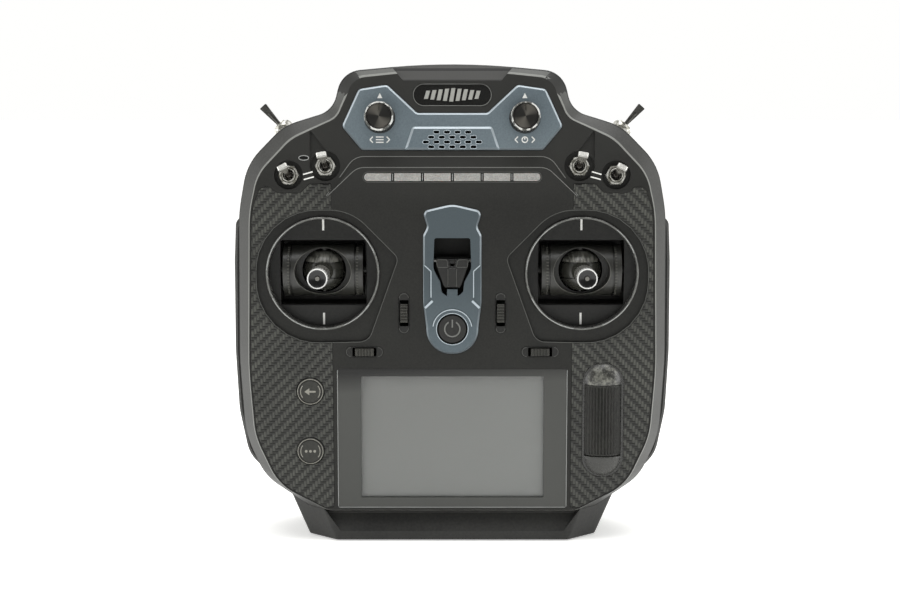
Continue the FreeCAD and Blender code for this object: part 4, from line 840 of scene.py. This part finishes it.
def add_comb(side, sign):
    """Rows of small ridges beside the grooves of a gimbal drum."""
    work = bmesh.new()
    for end in (-1, 1):
        x = sign * GIMBAL.x + end * COMB_X
        for k in range(COMB_COUNT):
            angle = math.radians(COMB_SPREAD * k / (COMB_COUNT - 1) - COMB_SPREAD / 2)
            spoke = Vector((0.0, -math.cos(angle), math.sin(angle)))
            centre = Vector((x, GIMBAL.y, GIMBAL.z)) + spoke * DRUM_R
            turn = Matrix.Rotation(-angle, 4, "X")
            size = Matrix.Diagonal((*[side_length * MM for side_length in COMB_RIDGE], 1.0))
            bmesh.ops.create_cube(work, size=1.0, matrix=Matrix.Translation(centre * MM) @ turn @ size)
    made = bpy.data.meshes.new("drum_comb_" + side)
    work.to_mesh(made)
    work.free()
    add_piece("drum_comb_" + side, made, "comb_grey", "cradle_" + side)


def add_console_details():
    """Pointers and icons at the knobs, painted highlights on the rims of the grille's slots and the badge's
    plain emblem.
    """
    wide, foot, tip = POINTER
    z = ICON_Z
    for sign, side in SIDES:
        x = sign * KNOB[0]
        pointer = [[(x - wide, foot), (x + wide, foot), (x, tip)]]
        detail("knob_pointer_" + side, pointer, on_lean(CONSOLE_HEIGHT), 0.05, "print_white")
        if side == "left":
            glyph = [box_shape(x - 1.7, z + k - 0.25, x + 1.7, z + k + 0.25) for k in (-1.15, 0.0, 1.15)]
        else:
            glyph = band(x, z, 1.2, 0.5) + [box_shape(x - 0.25, z, x + 0.25, z + 1.3)]
        for way in (-1, 1):
            glyph += stroke([(x + way * 3.0, z + 1.3), (x + way * 4.3, z), (x + way * 3.0, z - 1.3)], 0.5)
        detail("knob_icon_" + side, glyph, on_lean(CONSOLE_HEIGHT), 0.05, "print_white")
    slots = []
    wide, tall, radius = GRILLE_SLOT
    for count, z in GRILLE_ROWS:
        for k in range(count):
            x = (k - (count - 1) / 2.0) * GRILLE_PITCH
            slots += outline(rectangle(x - wide, x + wide, z - tall, z + tall, radius), 0.26)
    # Painted highlights on the rims of the grille's slots.
    detail("grille_rims", slots, on_lean(SPEAKER_HEIGHT), 0.12, "light_edge", slot="plaque_blue")
    detail("badge_line", outline(BADGE, 0.3), on_lean(-0.42), 0.1, "edge_grey", slot="gloss_black")
    emblem = []
    for k in range(-4, 5):
        x = k * EMBLEM_PITCH
        rise = 2.9 - 0.28 * abs(k)
        low, high = BADGE_Z - rise, BADGE_Z + rise
        emblem.append([(x - 1.35, low), (x + 0.35, low), (x + 1.35, high), (x - 0.35, high)])
    detail("badge_emblem", emblem, on_lean(-0.5), 0.25, "emblem_silver", slot="chrome")


def add_face_lines():
    """Painted highlights along the face's steps and the pods' rims, and the small shoulder marks beside the
    toggles.
    """
    # Painted highlights along the steps of the face.
    edges = (("foot", PANEL_FOOT, on_lean(0.0)), ("top", PANEL_TOP, at_depth(FACE_Y)))
    for name, corners, surface in edges:
        path = [(-x, z, r) for x, z, r in reversed(corners)] + list(corners)
        points = [point for point in rounded(path) if point[1] > PANEL_LINE_LOW]
        detail("panel_line_" + name, stroke(points, 0.3), surface, 0.08, "edge_grey", slot="case_black")
    for sign, side in SIDES:
        # Painted highlight along the rim of the stick's pod.
        rim = outline([(sign * x, z, r) for x, z, r in DISH], 0.32)
        detail("pod_line_" + side, rim, at_depth(FACE_Y), 0.05, "edge_dim", slot="case_black")
        bars = []
        for ends in LINK_BARS:
            bars += stroke([(sign * x, z) for x, z in ends], 0.55)
        detail("link_bars_" + side, bars, on_lean(0.0), 0.12, "print_white")
    oval = stroke(oval_points(*OVAL_MARK, 2.2, 1.0), 0.35)
    detail("shoulder_oval", oval, on_lean(0.0), 0.08, "edge_light")
    hollow = oval_points(*OVAL_MARK, 2.0, 0.8)[:-1]
    detail("shoulder_oval_dark", [hollow], on_lean(0.0), 0.04, "tray_black")


def add_bar_lines():
    """The thin webs between the light segments and the line round the whole bar."""
    webs = [box_shape(x - 0.14, 161.5, x + 0.14, 164.5) for x in WEB_XS]
    detail("light_bar_webs", webs, at_depth(FACE_Y + 0.3), 0.4, "edge_light")
    detail("light_bar_line", outline(BAR_LINE, 0.3), at_depth(FACE_Y), 0.05, "edge_dim")


def add_oval_lines(side, sign):
    """Painted highlight on the edge of the oval opening in a gimbal drum."""
    centre = sign * GIMBAL.x

    def drum(x, z):
        return GIMBAL.y - math.sqrt(max(0.0, DRUM_R ** 2 - (z - GIMBAL.z) ** 2))

    line = stroke(oval_points(centre, GIMBAL.z, *DRUM_OVAL, 60), 0.3)
    detail("oval_line_" + side, line, drum, 0.05, "comb_light", "cradle_" + side, "gimbal_black")


def add_centre_details():
    """Painted highlights on the centre plaque's edges and over and round the power button, its raised bars
    painted bright as highlights, the power symbol, and painted highlights on the strap hook's edges.
    """
    front = at_depth(PLAQUE_Y)
    lines, bars = [], []
    for sign in (-1, 1):
        lines += stroke([(sign * x, z) for x, z in PLAQUE_LINE], 0.42)
        bars += stroke([(sign * x, z) for x, z in PLAQUE_BAR], 1.0)
    # Painted highlight arc over the power button.
    lines += band(0.0, POWER_Z, 8.6, 0.42, 8.0, 172.0)
    detail("centre_lines", lines, front, 0.08, "light_edge", slot="plaque_blue")
    detail("centre_bars", bars, front, 0.2, "light_edge", slot="plaque_blue")
    # Painted highlight round the power button's hole.
    detail("power_rim", band(0.0, POWER_Z, 7.0, 0.3), front, 0.1, "light_edge", slot="plaque_blue")
    symbol = band(0.0, POWER_Z, 3.35, 0.6, 117.0, 423.0)
    symbol.append(box_shape(-0.3, POWER_Z + 0.7, 0.3, POWER_Z + 4.2))
    detail("power_symbol", symbol, at_depth(FACE_Y - 0.5), 0.27, "edge_grey", body="power_button")
    # Painted highlights on the strap hook's edges and crease.
    hook = []
    for sign in (-1, 1):
        hook += outline([(sign * x, z, r) for x, z, r in HOOK_PAD], 0.28)
        hook += stroke([(sign * x, z) for x, z in HOOK_CREASE], 0.28)
    detail("hook_edges", hook, at_depth(FACE_Y - 1.5), 0.05, "edge_dim", "strap_hook", "control_black")


def add_button_prints():
    """A painted highlight ring on each of the two round buttons' edges, and side arcs and generic icons
    printed on them.
    """
    for name, x, z in ROUND_BUTTONS:
        # The outer ring is a painted highlight on the cap's edge; the arcs and icons are print.
        marks = band(x, z, 5.55, 0.28)
        marks += band(x, z, 4.3, 0.36, -38.0, 38.0, 12) + band(x, z, 4.3, 0.36, 142.0, 218.0, 12)
        if name == "upper":
            marks.append([(x - 2.6, z), (x - 0.4, z - 1.6), (x - 0.4, z + 1.6)])
            marks.append(box_shape(x - 0.4, z - 0.4, x + 2.4, z + 0.4))
        else:
            for step in (-1.9, 0.0, 1.9):
                marks.append(arc_points(x + step, z, 0.62, 0.0, 345.0, 15))
        print_depth = at_depth(FACE_Y - 0.7)
        detail("button_print_and_rim_highlight_" + name, marks, print_depth, 0.04, "print_grey", body="button_" + name)


def add_trim_lines():
    """Painted highlights: lit arcs at the ends of the trim slots."""
    upright, level = TRIM_SLOT
    for sign, side in SIDES:
        x, z = sign * TRIM_UP[0], TRIM_UP[1]
        lines = band(x, z + upright, TRIM_SLOT_R, 0.26, 0.0, 180.0, 12)
        lines += band(x, z - upright, TRIM_SLOT_R, 0.26, 180.0, 360.0, 12)
        x, z = sign * TRIM_FLAT[0], TRIM_FLAT[1]
        lines += band(x + level, z, TRIM_SLOT_R, 0.26, -90.0, 90.0, 12)
        lines += band(x - level, z, TRIM_SLOT_R, 0.26, 90.0, 270.0, 12)
        detail("trim_lines_" + side, lines, at_depth(FACE_Y - 0.2), 0.05, "edge_dim", slot="gloss_black")


def add_screen_lines():
    """Painted highlight along the glass's chamfer, left open at its top, where it is shaded."""
    low_x, high_x, low_z, high_z = GLASS
    frame_line = stroke([(low_x, high_z), (low_x, low_z), (high_x, low_z), (high_x, high_z)], 0.3)
    detail("screen_line", frame_line, at_depth(FACE_Y + 0.35), 0.15, "edge_light", slot="screen_glass")


# ---------------------------------------------------------------------------
# Floor, light and camera, in metres
# ---------------------------------------------------------------------------
FLOOR_SIZE = 60.0
FLOOR_GLOW = 0.4
WARM_WHITE = (1.0, 1.0, 0.99, 1.0)
FRONT_LIGHT = 0.22                              # strength of the sky in front of the part
SKY_FADE = (-0.8, 0.3)                          # from the front to the back, by the direction's Y
LIGHT_TARGET = (0.0, 0.0, 0.11)
LAMPS = (
    ("key_top", (0.05, -0.1, 1.1), (1.2, 0.8), 9.0),
    ("fill_left", (-1.1, -0.2, 0.3), (0.5, 0.9), 4.0),
    ("fill_right", (1.1, -0.2, 0.3), (0.5, 0.9), 4.0),
)
LENS = 62.7                                     # millimetres, on a 36 mm sensor
FRAME_SHIFT = (-2.3 / 900, 3.0 / 900)           # to the side and up, in frame widths
LOOK_AT = (0.0, FACE_Y * MM, 0.1077)
CAMERA_DISTANCE = 0.690
CAMERA_RISE = math.radians(7.0)


def add_floor():
    """A pale, faintly glowing sheet under the part, wide enough for every view."""
    bpy.ops.mesh.primitive_plane_add(size=FLOOR_SIZE, location=(0.0, 0.0, 0.0))
    floor = bpy.context.object
    floor.name = "floor"
    s = Shader("floor_paper")
    fine = s.noise(90.0, 3.0)
    s.finish(s.blend(fine, linear(246, 246, 244), linear(250, 250, 248)), 0.9, specular=0.1)
    s.principled.inputs["Emission Color"].default_value = WARM_WHITE
    s.principled.inputs["Emission Strength"].default_value = FLOOR_GLOW
    floor.data.materials.append(s.material)


def add_area_light(name, place, size, power):
    """A rectangular lamp that faces the part."""
    light = bpy.data.lights.new(name, "AREA")
    light.shape = "RECTANGLE"
    light.size, light.size_y = size
    light.energy = power
    holder = bpy.data.objects.new(name, light)
    holder.location = place
    holder.rotation_euler = (Vector(LIGHT_TARGET) - Vector(place)).to_track_quat("-Z", "Y").to_euler()
    bpy.context.scene.collection.objects.link(holder)


def add_studio():
    """A white sky, dimmer in front of the part but white to the camera, and three soft lamps."""
    world = bpy.data.worlds.new("studio")
    world.use_nodes = True
    tree = world.node_tree
    backdrop = tree.nodes["Background"]
    backdrop.inputs["Color"].default_value = WARM_WHITE
    direction = tree.nodes.new("ShaderNodeTexCoord")
    parts = tree.nodes.new("ShaderNodeSeparateXYZ")
    fade = tree.nodes.new("ShaderNodeMapRange")
    for place, amount in zip(list(fade.inputs)[1:], (*SKY_FADE, FRONT_LIGHT, 1.0)):
        place.default_value = amount
    tree.links.new(direction.outputs["Generated"], parts.inputs[0])
    tree.links.new(parts.outputs[1], fade.inputs[0])
    seen = tree.nodes.new("ShaderNodeLightPath")
    brighter = tree.nodes.new("ShaderNodeMath")
    brighter.operation = "MAXIMUM"
    tree.links.new(fade.outputs[0], brighter.inputs[0])
    tree.links.new(seen.outputs["Is Camera Ray"], brighter.inputs[1])
    tree.links.new(brighter.outputs[0], backdrop.inputs["Strength"])
    bpy.context.scene.world = world
    for name, place, size, power in LAMPS:
        add_area_light(name, place, size, power)
    bpy.context.scene.view_settings.view_transform = "Standard"


def add_camera():
    """A long lens, square to the front and a little above it."""
    camera = bpy.data.cameras.new("photo_camera")
    camera.sensor_width = 36.0
    camera.lens = LENS
    camera.shift_x, camera.shift_y = FRAME_SHIFT
    holder = bpy.data.objects.new("photo_camera", camera)
    target = Vector(LOOK_AT)
    direction = Vector((0.0, -math.cos(CAMERA_RISE), math.sin(CAMERA_RISE)))
    holder.location = target + direction * CAMERA_DISTANCE
    holder.rotation_euler = (target - holder.location).to_track_quat("-Z", "Y").to_euler()
    bpy.context.scene.collection.objects.link(holder)
    bpy.context.scene.camera = holder


dress_nodes()
add_gimbal_marks()
add_ring_lines()
for sign, side in SIDES:
    add_comb(side, sign)
    add_oval_lines(side, sign)
add_console_details()
add_face_lines()
add_bar_lines()
add_centre_details()
add_button_prints()
add_trim_lines()
add_screen_lines()
add_floor()
add_studio()
add_camera()
